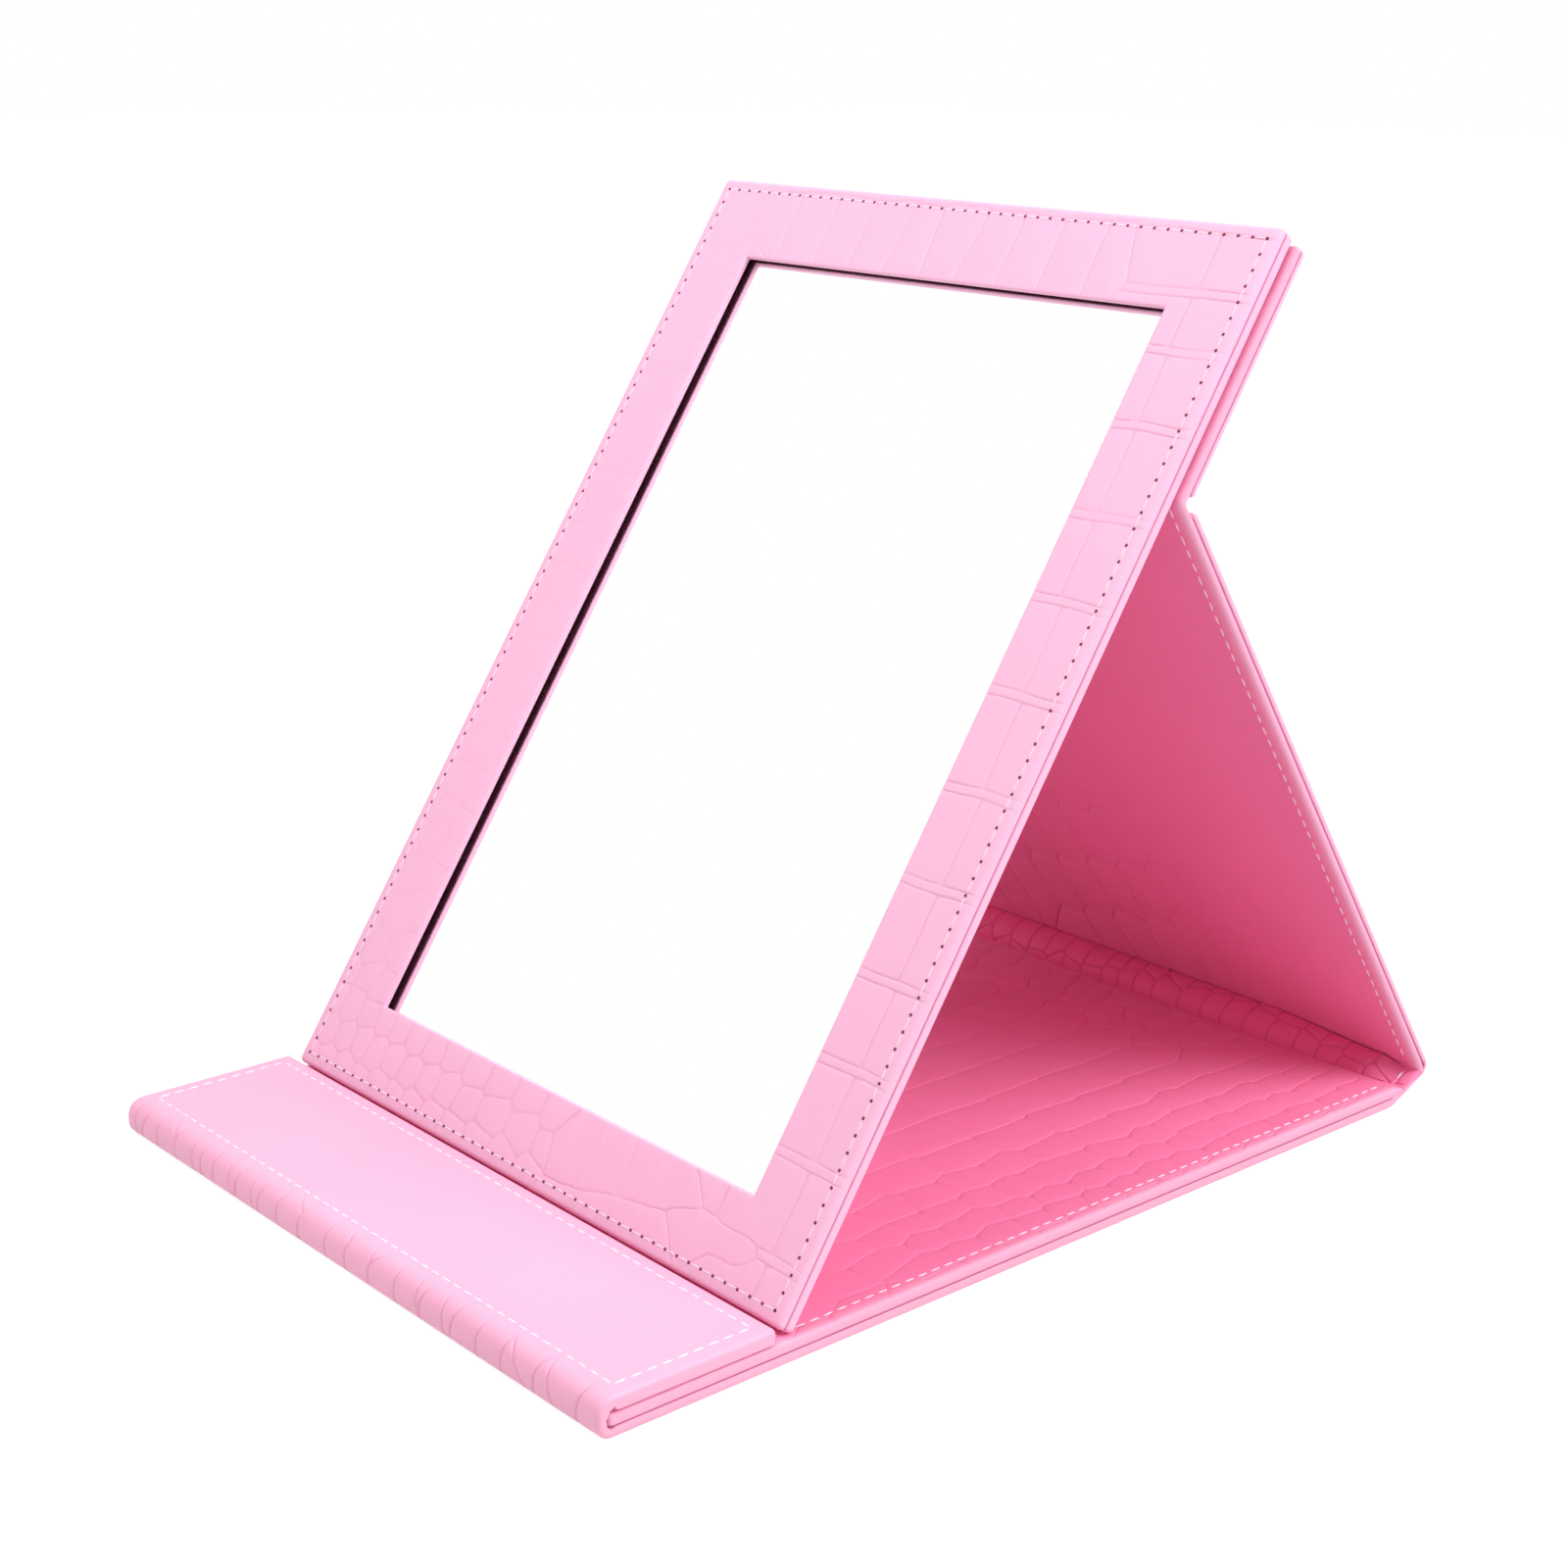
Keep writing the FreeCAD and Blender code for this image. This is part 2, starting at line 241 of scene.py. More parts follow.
class FoldPath:
    """A sheet's line: straight runs with rounded folds, and the depth of its layer at each named stop."""

    def __init__(self, stops):
        self.samples = []
        self.folds = []
        self.mark = {}
        names = list(stops)
        places = [Vector(stops[name][0]) for name in names]
        run = 0.0
        last = places[0]
        for i, name in enumerate(names):
            place, radius, wall = stops[name]
            place = Vector(place)
            before = (place - places[i - 1] if i else places[1] - place).normalized()
            after = (places[i + 1] - place if i + 1 < len(names) else before).normalized()
            start_angle = math.atan2(before.y, before.x)
            turn = math.atan2(before.x * after.y - before.y * after.x, before.dot(after))
            if radius * abs(turn) < 1e-7:
                run += (place - last).length
                self.samples.append((run, place, start_angle, wall))
                self.mark[name] = run
                last = place
                continue
            reach = radius * math.tan(abs(turn) / 2)
            side = 1 if turn > 0 else -1
            start = place - before * reach
            centre = start + Vector((-before.y, before.x)) * radius * side
            run += (start - last).length
            steps = max(2, math.ceil(abs(turn) / FOLD_STEP))
            for k in range(steps + 1):
                angle = turn * k / steps
                turned = Matrix.Rotation(angle, 2) @ (start - centre)
                at = run + radius * abs(angle)
                self.samples.append((at, centre + turned, start_angle + angle, wall))
                self.folds.append(at)
            self.mark[name] = run + radius * abs(turn) / 2
            run += radius * abs(turn)
            last = place + after * reach
        self.length = run

    def at(self, s):
        """The place, slope and layer depth at a distance along the line."""
        samples = self.samples
        low, high = 0, len(samples) - 1
        while high - low > 1:
            middle = (low + high) // 2
            if samples[middle][0] <= s:
                low = middle
            else:
                high = middle
        a, b = samples[low], samples[high]
        share = (s - a[0]) / max(b[0] - a[0], 1e-9)
        turn = (b[2] - a[2] + math.pi) % (2 * math.pi) - math.pi
        held = min(max(share, 0.0), 1.0)
        return a[1].lerp(b[1], share), a[2] + turn * held, a[3] + (b[3] - a[3]) * held


# Embossed leather


def clip_cell(cell, origin, normal, other):
    """The part of a convex cell on the near side of a line; its new side faces another cell."""
    kept = []
    for (here, side), (there, _) in zip(cell, cell[1:] + cell[:1]):
        a = (here - origin).dot(normal)
        b = (there - origin).dot(normal)
        if a <= 0:
            kept.append((here, side if a < 0 or b <= 0 else other))
        if a * b < 0:
            kept.append((here.lerp(there, a / (a - b)), other if a < 0 else side))
    return kept


def scale_cells(sites, outline, stretch):
    """The patches of the sheet round (x, s, radius, scale) sites, as corners and the site that each side faces."""
    squeezed = [Vector((site[0], site[1] / stretch)) for site in sites]
    tree = kdtree.KDTree(len(sites))
    for i, p in enumerate(squeezed):
        tree.insert((p.x, p.y, 0), i)
    tree.balance()
    border = [(Vector((p.x, p.y / stretch)), -1) for p in outline]
    widest = max(site[2] for site in sites)
    for i, p in enumerate(squeezed):
        cell = border
        for _, j, gap in tree.find_n((p.x, p.y, 0), 150):
            if j == i or gap < 1e-7:
                continue
            if gap > widest and (gap - widest**2 / gap) / 2 > max((q - p).length for q, _ in cell):
                break
            to_other = (squeezed[j] - p) / gap
            reach = (gap * gap + sites[i][2] ** 2 - sites[j][2] ** 2) / (2 * gap)
            cell = clip_cell(cell, p + to_other * reach, to_other, j)
            if len(cell) < 3:
                break
        if len(cell) > 2:
            yield i, [(Vector((q.x, q.y * stretch)), side) for q, side in cell]


def inset_cell(cell, creased, inset, rounding):
    """The corners of a convex cell with every side moved inwards, and cut off where two creases meet."""
    kept = [(q, k) for k, (q, _) in enumerate(cell)]
    for k, (here, _) in enumerate(cell):
        along = (cell[(k + 1) % len(cell)][0] - here).normalized()
        inward = Vector((-along.y, along.x))
        kept = clip_cell(kept, here + inward * inset, -inward, k)
        if len(kept) < 3:
            return [sum((q for q, _ in cell), Vector((0, 0))) / len(cell)]
    corners = []
    for i, (here, side) in enumerate(kept):
        before, side_before = kept[i - 1]
        after = kept[(i + 1) % len(kept)][0]
        if creased[side] and creased[side_before]:
            for other in (before, after):
                share = min(0.3, rounding / max((other - here).length, 1e-9))
                corners.append(here.lerp(other, share))
        else:
            corners.append(here)
    return corners


def nearest_on(corners, point):
    """The point of a convex outline that is nearest to a point outside it."""
    best, best_gap = corners[0], (corners[0] - point).length_squared
    for here, there in zip(corners, corners[1:] + corners[:1]):
        along = there - here
        share = (point - here).dot(along) / max(along.length_squared, 1e-18)
        near = here.lerp(there, min(max(share, 0.0), 1.0))
        gap = (near - point).length_squared
        if gap < best_gap:
            best, best_gap = near, gap
    return best


def sway(point, seed, reach=0.7 * MM, wave=13 * MM):
    """A small drift that makes the creases wander."""
    drift = noise.noise_vector(Vector((point.x / wave, point.y / wave, seed)))
    return point + Vector((drift.x, drift.y)) * reach


def ring_of(cell, creased, sizes, cross):
    """A cell's outline as points with their depth: 1 in a crease, cross in one that runs across, 0 inside a scale."""
    corners = [q for q, _ in cell]
    lines = [(b - a).normalized() for a, b in zip(corners, corners[1:] + corners[:1])]
    across = [cross + (1 - cross) * smooth_step(abs(line.y), 0.35, 0.85) for line in lines]
    deep = [float(c) * share for c, share in zip(creased, across)]
    ring = []
    for k, (here, _) in enumerate(cell):
        there = cell[(k + 1) % len(cell)][0]
        length = (there - here).length
        if creased[k]:
            count = max(1, round(length / sizes.step))
            ring.append((here, max(deep[k - 1], deep[k])))
            ring += [(here.lerp(there, i / count), deep[k]) for i in range(1, count)]
            continue
        start, end = deep[k - 1], deep[(k + 1) % len(cell)]
        ring.append((here, start))
        if length > 2.5 * sizes.shoulder:
            run = length - 2 * sizes.shoulder
            count = max(1, round(run / sizes.step))
            ring.append((here.lerp(there, sizes.crease_half / length), CREASE_FOOT * start))
            ring += [(here.lerp(there, (sizes.shoulder + run * i / count) / length), 0.0) for i in range(count + 1)]
            ring.append((here.lerp(there, 1 - sizes.crease_half / length), CREASE_FOOT * end))
    return ring


def cell_size(cell):
    """Twice the area over the outline: about the radius of a cell."""
    corners = [q for q, _ in cell]
    pairs = list(zip(corners, corners[1:] + corners[:1]))
    area = sum(a.x * b.y - b.x * a.y for a, b in pairs) / 2
    return 2 * area / max(sum((b - a).length for a, b in pairs), 1e-9)


def smooth_step(value, low, high):
    """0 below low, 1 above high, and a soft ramp between."""
    t = min(max((value - low) / (high - low), 0.0), 1.0)
    return t * t * (3 - 2 * t)


def edge_profile(d, wall, fall, sizes):
    """Where a point lies at d beyond a panel's core: outwards, down, and its normal.

    fall is the part of d that goes straight down the wall.
    """
    flat = sizes.corner - sizes.roll
    if d <= flat:
        return d, 0.0, 0.0, 1.0
    d -= flat
    # a wall lower than its two rounded edges flattens both
    low = min(1.0, wall / (sizes.roll + sizes.seam))
    roll = sizes.roll * math.pi / 2
    if d <= roll:
        a = d / sizes.roll
        return flat + sizes.roll * math.sin(a), low * sizes.roll * (1 - math.cos(a)), math.sin(a), math.cos(a)
    d -= roll
    if d <= fall:
        return sizes.corner, low * sizes.roll + (wall - low * (sizes.roll + sizes.seam)) * d / fall, 1.0, 0.0
    d -= fall
    turn_in = sizes.seam * math.pi / 2
    if d <= turn_in:
        a = d / sizes.seam
        drop = wall - low * sizes.seam * (1 - math.sin(a))
        return sizes.corner - sizes.seam * (1 - math.cos(a)), drop, math.cos(a), -math.sin(a)
    return sizes.corner - sizes.seam - (d - turn_in), wall, 0.0, -1.0


def emboss(sites, outline, stretch, seed, cross):
    """A flat sheet in (x, s) with its scales drawn in: a mesh whose vertices know how deep in a crease they lie."""
    sizes = bpy.context.scene.folio_sizes
    bm = bmesh.new()
    crease_and_shade_layer = bm.verts.layers.float.new("crease")

    def vertex(point, depth):
        moved = sway(point, seed)
        made = bm.verts.new((moved.x, moved.y, 0.0))
        made[crease_and_shade_layer] = depth
        return made

    for i, cell in scale_cells(sites, outline, stretch):
        scale = sites[i][3]
        creased = [j >= 0 and (scale is None or sites[j][3] != scale) for _, j in cell]
        ring = ring_of(cell, creased, sizes, cross)
        room = 0.4 * cell_size(cell)
        narrow = inset_cell(cell, creased, min(sizes.crease_half, 0.4 * room), sizes.shoulder)
        wide = inset_cell(cell, creased, min(sizes.shoulder, room), 1.5 * sizes.shoulder)
        bottom = [vertex(p, depth) for p, depth in ring]
        shoulder = [vertex(nearest_on(narrow, p), CREASE_FOOT * depth) for p, depth in ring]
        crown = [vertex(nearest_on(wide, p), 0.0) for p, depth in ring]
        middle = vertex(sum(wide, Vector((0, 0))) / len(wide), 0.0)
        for k in range(-1, len(ring) - 1):
            bm.faces.new((bottom[k], bottom[k + 1], shoulder[k + 1], shoulder[k]))
            bm.faces.new((shoulder[k], shoulder[k + 1], crown[k + 1], crown[k]))
            bm.faces.new((crown[k], crown[k + 1], middle))
    bmesh.ops.remove_doubles(bm, verts=bm.verts, dist=0.02 * MM)
    bmesh.ops.dissolve_degenerate(bm, dist=0.01 * MM, edges=bm.edges)
    bm.normal_update()
    bmesh.ops.reverse_faces(bm, faces=[f for f in bm.faces if f.normal.z < 0])
    return bm


def cut(bm, place, normal, clear=False):
    """Cuts a sheet along a line, and takes away what lies beyond it if asked."""
    geometry = bm.verts[:] + bm.edges[:] + bm.faces[:]
    bmesh.ops.bisect_plane(bm, geom=geometry, dist=1e-6, plane_co=place, plane_no=normal, clear_outer=clear)


def lay_leather(
    name,
    path,
    half_width,
    sites,
    material,
    keep=(-1, 1),
    depth=1.0,
    stretch=1.0,
    rolled=(True, True),
    window=None,
    seed=1,
    relief=None,
    swell=None,
    cross=1.0,
    tint=1.0,
):
    """A sheet of embossed leather along a path, rolled over its sides and its rolled ends.

    keep is the length of it to make, cross the depth of creases that run across, tint how much painted crease shade
    they take.
    """
    sizes = bpy.context.scene.folio_sizes
    deepest = max(sample[3] for sample in path.samples) - sizes.gap
    flat = sizes.corner - sizes.roll
    roll = sizes.roll * math.pi / 2
    fall = max(deepest - sizes.roll - sizes.seam, 0.1 * MM)
    turn_in = sizes.seam * math.pi / 2
    reach = flat + roll + fall + turn_in + sizes.tuck
    core_x = half_width - sizes.corner
    core_low = sizes.corner if rolled[0] else 0.0
    core_high = path.length - (sizes.corner if rolled[1] else 0.0)
    outline = []
    for sx, sy, start in ((1, -1, -90), (1, 1, 0), (-1, 1, 90), (-1, -1, 180)):
        s_core = core_low if sy < 0 else core_high
        if rolled[0] if sy < 0 else rolled[1]:
            angles = [math.radians(start + 15 * k) for k in range(7)]
            outline += [Vector((sx * core_x + reach * math.cos(a), s_core + reach * math.sin(a))) for a in angles]
        else:
            outline.append(Vector((sx * (core_x + reach), s_core)))
    near = [p for p in sites if keep[0] - NEAR < p[1] < keep[1] + NEAR]
    bm = emboss(near, outline, stretch, seed, cross)
    along, across = Vector((0, 1, 0)), Vector((1, 0, 0))
    cut(bm, along * keep[0], -along, True)
    cut(bm, along * keep[1], along, True)
    bends = [flat + roll * k / 4 for k in range(5)]
    bends += [flat + roll + fall + turn_in * k / 2 for k in range(3)]
    for b in bends:
        cut(bm, across * (core_x + b), across)
        cut(bm, -across * (core_x + b), across)
        if rolled[0]:
            cut(bm, along * (core_low - b), along)
        if rolled[1]:
            cut(bm, along * (core_high + b), along)
    folds = list(path.folds)
    if swell:
        folds += [keep[0] + (keep[1] - keep[0]) * k / 28 for k in range(1, 28)]
    for s in folds:
        if keep[0] < s < keep[1]:
            cut(bm, along * s, along)
    drops = open_window(bm, window, sizes) if window else {}
    crease_and_shade_layer = bm.verts.layers.float["crease"]
    probe = 0.05 * MM
    for v in bm.verts:
        x, s = v.co.x, v.co.y
        xc = min(max(x, -core_x), core_x)
        sc = min(max(s, core_low), core_high)
        dx, ds = x - xc, s - sc
        d = math.hypot(dx, ds)
        place, slope, wall = path.at(sc)
        out, drop, normal_out, normal_up = edge_profile(d, wall - sizes.gap, fall, sizes)
        ex, es = (dx / d, ds / d) if d > 1e-9 else (0.0, 0.0)
        inland = min(half_width - abs(x), s if rolled[0] else 1, path.length - s if rolled[1] else 1)
        fade = 0.12 + 0.88 * smooth_step(inland, -0.5 * MM, 3.5 * MM)
        if relief:
            fade *= relief(x, s)
        v[crease_and_shade_layer] *= fade
        height = -v[crease_and_shade_layer] * sizes.crease * depth - drops.get(v, 0.0)
        side = out + normal_out * height
        up = normal_up * height - drop
        t = heading(slope)
        if swell:
            reach_back, reach_on = max(s - probe, keep[0]), min(s + probe, keep[1])
            t = path.at(reach_on)[0] + swell(x, reach_on) - path.at(reach_back)[0] - swell(x, reach_back)
            t.normalize()
            place = place + swell(x, s)
        laid = place + t * es * side + Vector((-t.y, t.x)) * up
        v.co = Vector((xc + ex * side, laid.x, laid.y))
        # painted shade: the seam's turn-in takes much of the crease colour, for the shadow in the slit between two
        # layers
        seam = SEAM_SHADE * smooth_step(d, reach - sizes.tuck - turn_in, reach - sizes.tuck)
        v[crease_and_shade_layer] = max(v[crease_and_shade_layer] * tint, seam)
    mesh = bpy.data.meshes.new(name)
    bm.to_mesh(mesh)
    bm.free()
    mesh.shade_smooth()
    mesh.materials.append(material)
    sheet = bpy.data.objects.new(name, mesh)
    bpy.context.scene.collection.objects.link(sheet)
    body = sheet.modifiers.new("Leather", "SOLIDIFY")
    body.thickness = sizes.skin
    body.offset = -1
    apply_modifiers(sheet)
    sheet.data.set_sharp_from_angle(angle=math.radians(55))
    return sheet


def open_window(bm, window, sizes):
    """Cuts the window and turns the leather over its edge and down its wall; gives how far its vertices drop."""
    half, low, high = window
    grow = sizes.rim
    along, across = Vector((0, 1, 0)), Vector((1, 0, 0))
    for sign in (-1, 1):
        cut(bm, across * sign * (half + grow), across)
    cut(bm, along * (low - grow), along)
    cut(bm, along * (high + grow), along)
    middles = [(f, f.calc_center_median()) for f in bm.faces]
    inside = [f for f, m in middles if abs(m.x) < half + grow and low - grow < m.y < high + grow]
    bmesh.ops.delete(bm, geom=inside, context="FACES")

    def at_window(place):
        return abs(place.x) < half + 2 * grow and low - 2 * grow < place.y < high + 2 * grow

    edge = [e for e in bm.edges if e.is_boundary and at_window(e.verts[0].co)]
    turns = [math.pi / 8 * k for k in (1, 2, 3, 4)]
    steps = [(grow * (1 - math.sin(a)), grow * (1 - math.cos(a))) for a in turns]
    steps += [(sizes.seam * (1 - math.cos(a)), sizes.reveal - sizes.seam * (1 - math.sin(a))) for a in [0.0] + turns]
    steps.append((sizes.seam + sizes.tuck, sizes.reveal))
    crease_and_shade_layer = bm.verts.layers.float["crease"]
    moves = []
    for out, down in steps:
        made = bmesh.ops.extrude_edge_only(bm, edges=edge)["geom"]
        edge = [g for g in made if isinstance(g, bmesh.types.BMEdge) and g.is_boundary]
        moves += [(g, out, down) for g in made if isinstance(g, bmesh.types.BMVert)]
    for v, out, down in moves:
        x, s = v.co.x, v.co.y
        on_side = abs(abs(x) - half - grow) < 0.01 * MM
        v.co.x = math.copysign(half + out, x) if on_side else min(max(x, -half - out), half + out)
        if s < low - 0.99 * grow:
            v.co.y = low - out
        elif s > high + 0.99 * grow:
            v.co.y = high + out
        else:
            v.co.y = min(max(s, low - out), high + out)
        v[crease_and_shade_layer] = 0.0
    return {v: down for v, out, down in moves}


def apply_modifiers(piece):
    """Makes a piece's modifiers part of its mesh."""
    seen = piece.evaluated_get(bpy.context.evaluated_depsgraph_get())
    mesh = bpy.data.meshes.new_from_object(seen)
    mesh.name = piece.name
    piece.modifiers.clear()
    piece.data = mesh


# Patterns of the hide


def brick_sites(seed, x_range, s_range, wide, long, turn=0.0, drift=0.1):
    """Columns of long scales over a patch of the sheet, each column shifted against the next."""
    rng = random.Random(seed)
    middle = Vector((sum(x_range) / 2, sum(s_range) / 2))
    reach = Vector((x_range[1] - x_range[0], s_range[1] - s_range[0])).length / 2 + long
    spin = Matrix.Rotation(turn, 2)
    sites = []
    across = -reach
    while across < reach:
        along = -reach - long * rng.random()
        while along < reach:
            p = middle + spin @ Vector((across + wide * rng.uniform(-drift, drift), along))
            if x_range[0] <= p.x <= x_range[1] and s_range[0] <= p.y <= s_range[1]:
                sites.append((p.x, p.y, 0.0, None))
            along += long * rng.uniform(0.6, 1.4)
        across += wide * rng.uniform(0.88, 1.14)
    return sites


def belly_sites(seed, edges, s_range, tall, shift=0.0):
    """Rows of large scales between creases at edges, in mm; narrow columns have short scales with looser rows."""
    rng = random.Random(seed)
    sites = []
    for k, (left, right) in enumerate(zip(edges, edges[1:])):
        wide = right - left
        loose = 1 - smooth_step(wide, 9, 13)
        height = tall + (1.35 * wide - tall) * loose
        s = s_range[0] / MM + k * shift - tall - height * loose * rng.random()
        while s < s_range[1] / MM + tall:
            x = (left + right) / 2 + rng.uniform(-0.7, 0.7) * (1 + loose)
            sites.append((x * MM, (s + rng.uniform(-0.9, 0.9)) * MM, wide / 2 * MM, None))
            s += height * (1 + loose * rng.uniform(-0.25, 0.25))
    return [p for p in sites if s_range[0] <= p[1] <= s_range[1]]


def frame_sites(seed, half, window):
    """The mirror frame's hide: small scales at the lower left, long ones at the lower right, tall ones above."""
    rng = random.Random(seed)
    half /= MM
    hole_half, hole_low, hole_high = (w / MM for w in window)
    # the part that the window cuts away
    x_range = (window[0] * -0.75, window[0] * 0.75)
    sites = brick_sites(seed, x_range, (window[1] + 22 * MM, window[2] - 22 * MM), 18 * MM, 18 * MM)

    def put(x, s, radius=0.0, scale=None):
        sites.append((x * MM, s * MM, radius * MM, scale))

    # the right rail: tall scales in two columns, parted by narrow bands
    band = 2.2
    bands = (-9.5, 12, 33.5, 55.5, 76, 99, 121.5, 145, 168.3, 189.6, 212, 231, 245.5, 262)
    for row, (low, high) in enumerate(zip(bands, bands[1:])):
        tall = high - low - band
        share = 0.55 - 0.25 * smooth_step(low, hole_low + 60, hole_high - 30)
        crease = hole_half + share * (half - hole_half) + rng.uniform(-0.5, 0.5)
        for k in range(-6, 7):
            x = crease + 2.6 * (k + 0.5)
            wave = 0.5 * math.sin(x / 4.1 + 2.3 * row)
            put(x, (low + high) / 2, tall / 2, ("tall", row, k < 0))
            put(x, high + wave, band / 2, ("band", row))
    # the top rail: upright scales, with a second row beyond its edge
    x = -half - 8
    while x < hole_half - 4:
        wide = rng.uniform(11.5, 14.5)
        for level in (8.5, 31.5):
            put(x + wide / 2 + rng.uniform(-0.6, 0.6), hole_high + level + rng.uniform(-0.7, 0.7))
        x += wide
    # the left rail: a net of small scales
    s = hole_low
    while s < hole_high:
        tall = rng.uniform(8, 12)
        for level in (3, 12, 21, 30):
            put(-hole_half - level + rng.uniform(-2, 2), s + tall * rng.uniform(0.2, 0.8))
        s += tall
    # the lower rail: rounded scales in rows that grow towards the right
    for s, shift in ((18.8, 0.0), (10.8, 0.5), (3.0, 0.0), (-4.8, 0.5)):
        x = -half - 8 + 4 * shift
        while x < 8:
            wide = (7.6 + 4.4 * smooth_step(x, -0.7 * half, 0)) * rng.uniform(0.88, 1.12)
            put(x + wide / 2, s + rng.uniform(-0.9, 0.9))
            x += wide
    # its right end: long scales over a rising crease
    for k in range(15):
        x = 15 + 4.2 * k
        crease = 4 + 0.18 * (x - 14) if x < 53 else 14.8
        crease += rng.uniform(-0.35, 0.35)
        put(x, crease + 8, 8, ("long", sum(x > c for c in (35, 53, 75))))
        put(x, crease - 8, 8, ("foot", sum(x > c for c in (53, 75))))
    return sites


# Materials


def add_node(tree, kind, sockets=None, **settings):
    """Adds a node with its settings; a socket gets a value, or a link where it is given another socket."""
    made = tree.nodes.new(kind)
    for key, value in settings.items():
        setattr(made, key, value)
    for key, value in (sockets or {}).items():
        socket = made.inputs[key]
        if isinstance(value, bpy.types.NodeSocket):
            tree.links.new(value, socket)
        else:
            socket.default_value = value
    return made


def new_material(name):
    """An empty node material and its tree."""
    material = bpy.data.materials.new(name)
    material.use_nodes = True
    material.node_tree.nodes.clear()
    return material, material.node_tree


def per_mm(size):
    """The texture scale that gives a pattern of a size in millimetres."""
    return 1 / (size * MM)


def shaded(colour, share):
    """A colour made deeper or paler."""
    return tuple(min(1.0, c * share) for c in colour[:3]) + (1.0,)


def textured(name):
    """A new material, its tree, and the place on the object that its textures go by."""
    material, tree = new_material(name)
    return material, tree, add_node(tree, "ShaderNodeTexCoord").outputs["Object"]


def cloud(tree, place, size, detail):
    """Noise with patches of a size in millimetres."""
    sockets = {"Vector": place, "Scale": per_mm(size), "Detail": detail}
    return add_node(tree, "ShaderNodeTexNoise", sockets).outputs["Fac"]


def math_of(tree, operation, *values, **settings):
    """A sum on one or two values."""
    return add_node(tree, "ShaderNodeMath", dict(enumerate(values)), operation=operation, **settings).outputs[0]


def mix(tree, share, low, high):
    """One colour turned into another by a share."""
    return add_node(tree, "ShaderNodeMix", {0: share, 6: low, 7: high}, data_type="RGBA").outputs[2]


def bump(tree, height, strength, millimetres, under=None):
    """A bump of a height in millimetres, over another one where it is given."""
    sockets = {"Height": height, "Strength": strength, "Distance": millimetres * MM}
    if under is not None:
        sockets["Normal"] = under
    return add_node(tree, "ShaderNodeBump", sockets).outputs["Normal"]


def spread(tree, value, low, high):
    """A value from 0 to 1 spread between two others."""
    return add_node(tree, "ShaderNodeMapRange", {"Value": value, "To Min": low, "To Max": high}).outputs[0]


def surface(tree, sockets):
    """Puts a principled shader on the material's output."""
    shader = add_node(tree, "ShaderNodeBsdfPrincipled", sockets)
    add_node(tree, "ShaderNodeOutputMaterial", {"Surface": shader.outputs[0]})


def embossed_leather(name, colour, crease_shade_colour, gloss=0.5, ends=None):
    """Embossed synthetic leather: a soft sheen over fine pores, with painted shade that darkens the creases.

    ends is another colour for its two sides, and the distances from the middle, in mm, where that starts and is full;
    these paler sides are painted light against the painted shade of the middle.
    """
    material, tree, place = textured(name)
    ground = mix(tree, cloud(tree, place, 38, 3.0), shaded(colour, 0.965), shaded(colour, 1.035))
    # painted light: the sides turn to the paler colour, where light reaches them
    if ends:
        other, start, full = ends
        across = add_node(tree, "ShaderNodeSeparateXYZ", {"Vector": place}).outputs["X"]
        limits = {"From Min": start * MM, "From Max": full * MM}
        share = add_node(tree, "ShaderNodeMapRange", {"Value": math_of(tree, "ABSOLUTE", across), **limits})
        ground = mix(tree, share.outputs[0], ground, tuple(other))
    # painted shade: the crease attribute mixes the crease colour into the creases and seams
    crease = add_node(tree, "ShaderNodeAttribute", attribute_name="crease").outputs["Fac"]
    depth = math_of(tree, "MULTIPLY", crease, CREASE_SHADE_SHARE, use_clamp=True)
    # pores are 0.25 mm on the real leather, drawn at 0.7 mm so that they show
    pores = add_node(tree, "ShaderNodeTexVoronoi", {"Vector": place, "Scale": per_mm(0.7)})
    wrinkle = cloud(tree, place, 2.4, 4.0)
    grain = bump(tree, pores.outputs["Distance"], 0.10, 0.06)
    surface(
        tree,
        {
            "Base Color": mix(tree, depth, ground, tuple(crease_shade_colour)),
            "Roughness": spread(tree, wrinkle, 0.40, 0.54),
            "Normal": bump(tree, wrinkle, 0.18, 0.25, grain),
            "IOR": 1.5,
            "Specular IOR Level": gloss,
        },
    )
    return material


def sewing_thread(name, colour):
    """Bonded polyester thread: matt, with the twist of its plies."""
    material, tree, place = textured(name)
    # the plies' twist is 0.3 mm on the real thread, drawn at 0.5 mm so that it shows
    twist = {"Vector": place, "Scale": per_mm(0.5) / 3, "Distortion": 1.5}
    plies = add_node(tree, "ShaderNodeTexWave", twist, bands_direction="DIAGONAL").outputs["Fac"]
    tint = mix(tree, plies, shaded(colour, 0.9), tuple(colour))
    normal = bump(tree, plies, 0.4, 0.08)
    surface(tree, {"Base Color": tint, "Roughness": 0.7, "Normal": normal, "Sheen Weight": 0.2})
    return material


def needle_hole(name, colour):
    """The shadow in a needle hole: dark, matt and a little uneven."""
    material, tree, place = textured(name)
    tint = mix(tree, cloud(tree, place, 1.5, 2.0), shaded(colour, 0.7), tuple(colour))
    surface(tree, {"Base Color": tint, "Roughness": 0.9})
    return material


def grey_board(name, colour):
    """Pressed board, card or paper: short fibres, matt."""
    material, tree, place = textured(name)
    fibre = cloud(tree, place, 1.2, 6.0)
    tint = mix(tree, fibre, shaded(colour, 0.75), tuple(colour))
    surface(tree, {"Base Color": tint, "Roughness": 0.9, "Normal": bump(tree, fibre, 0.3, 0.05)})
    return material


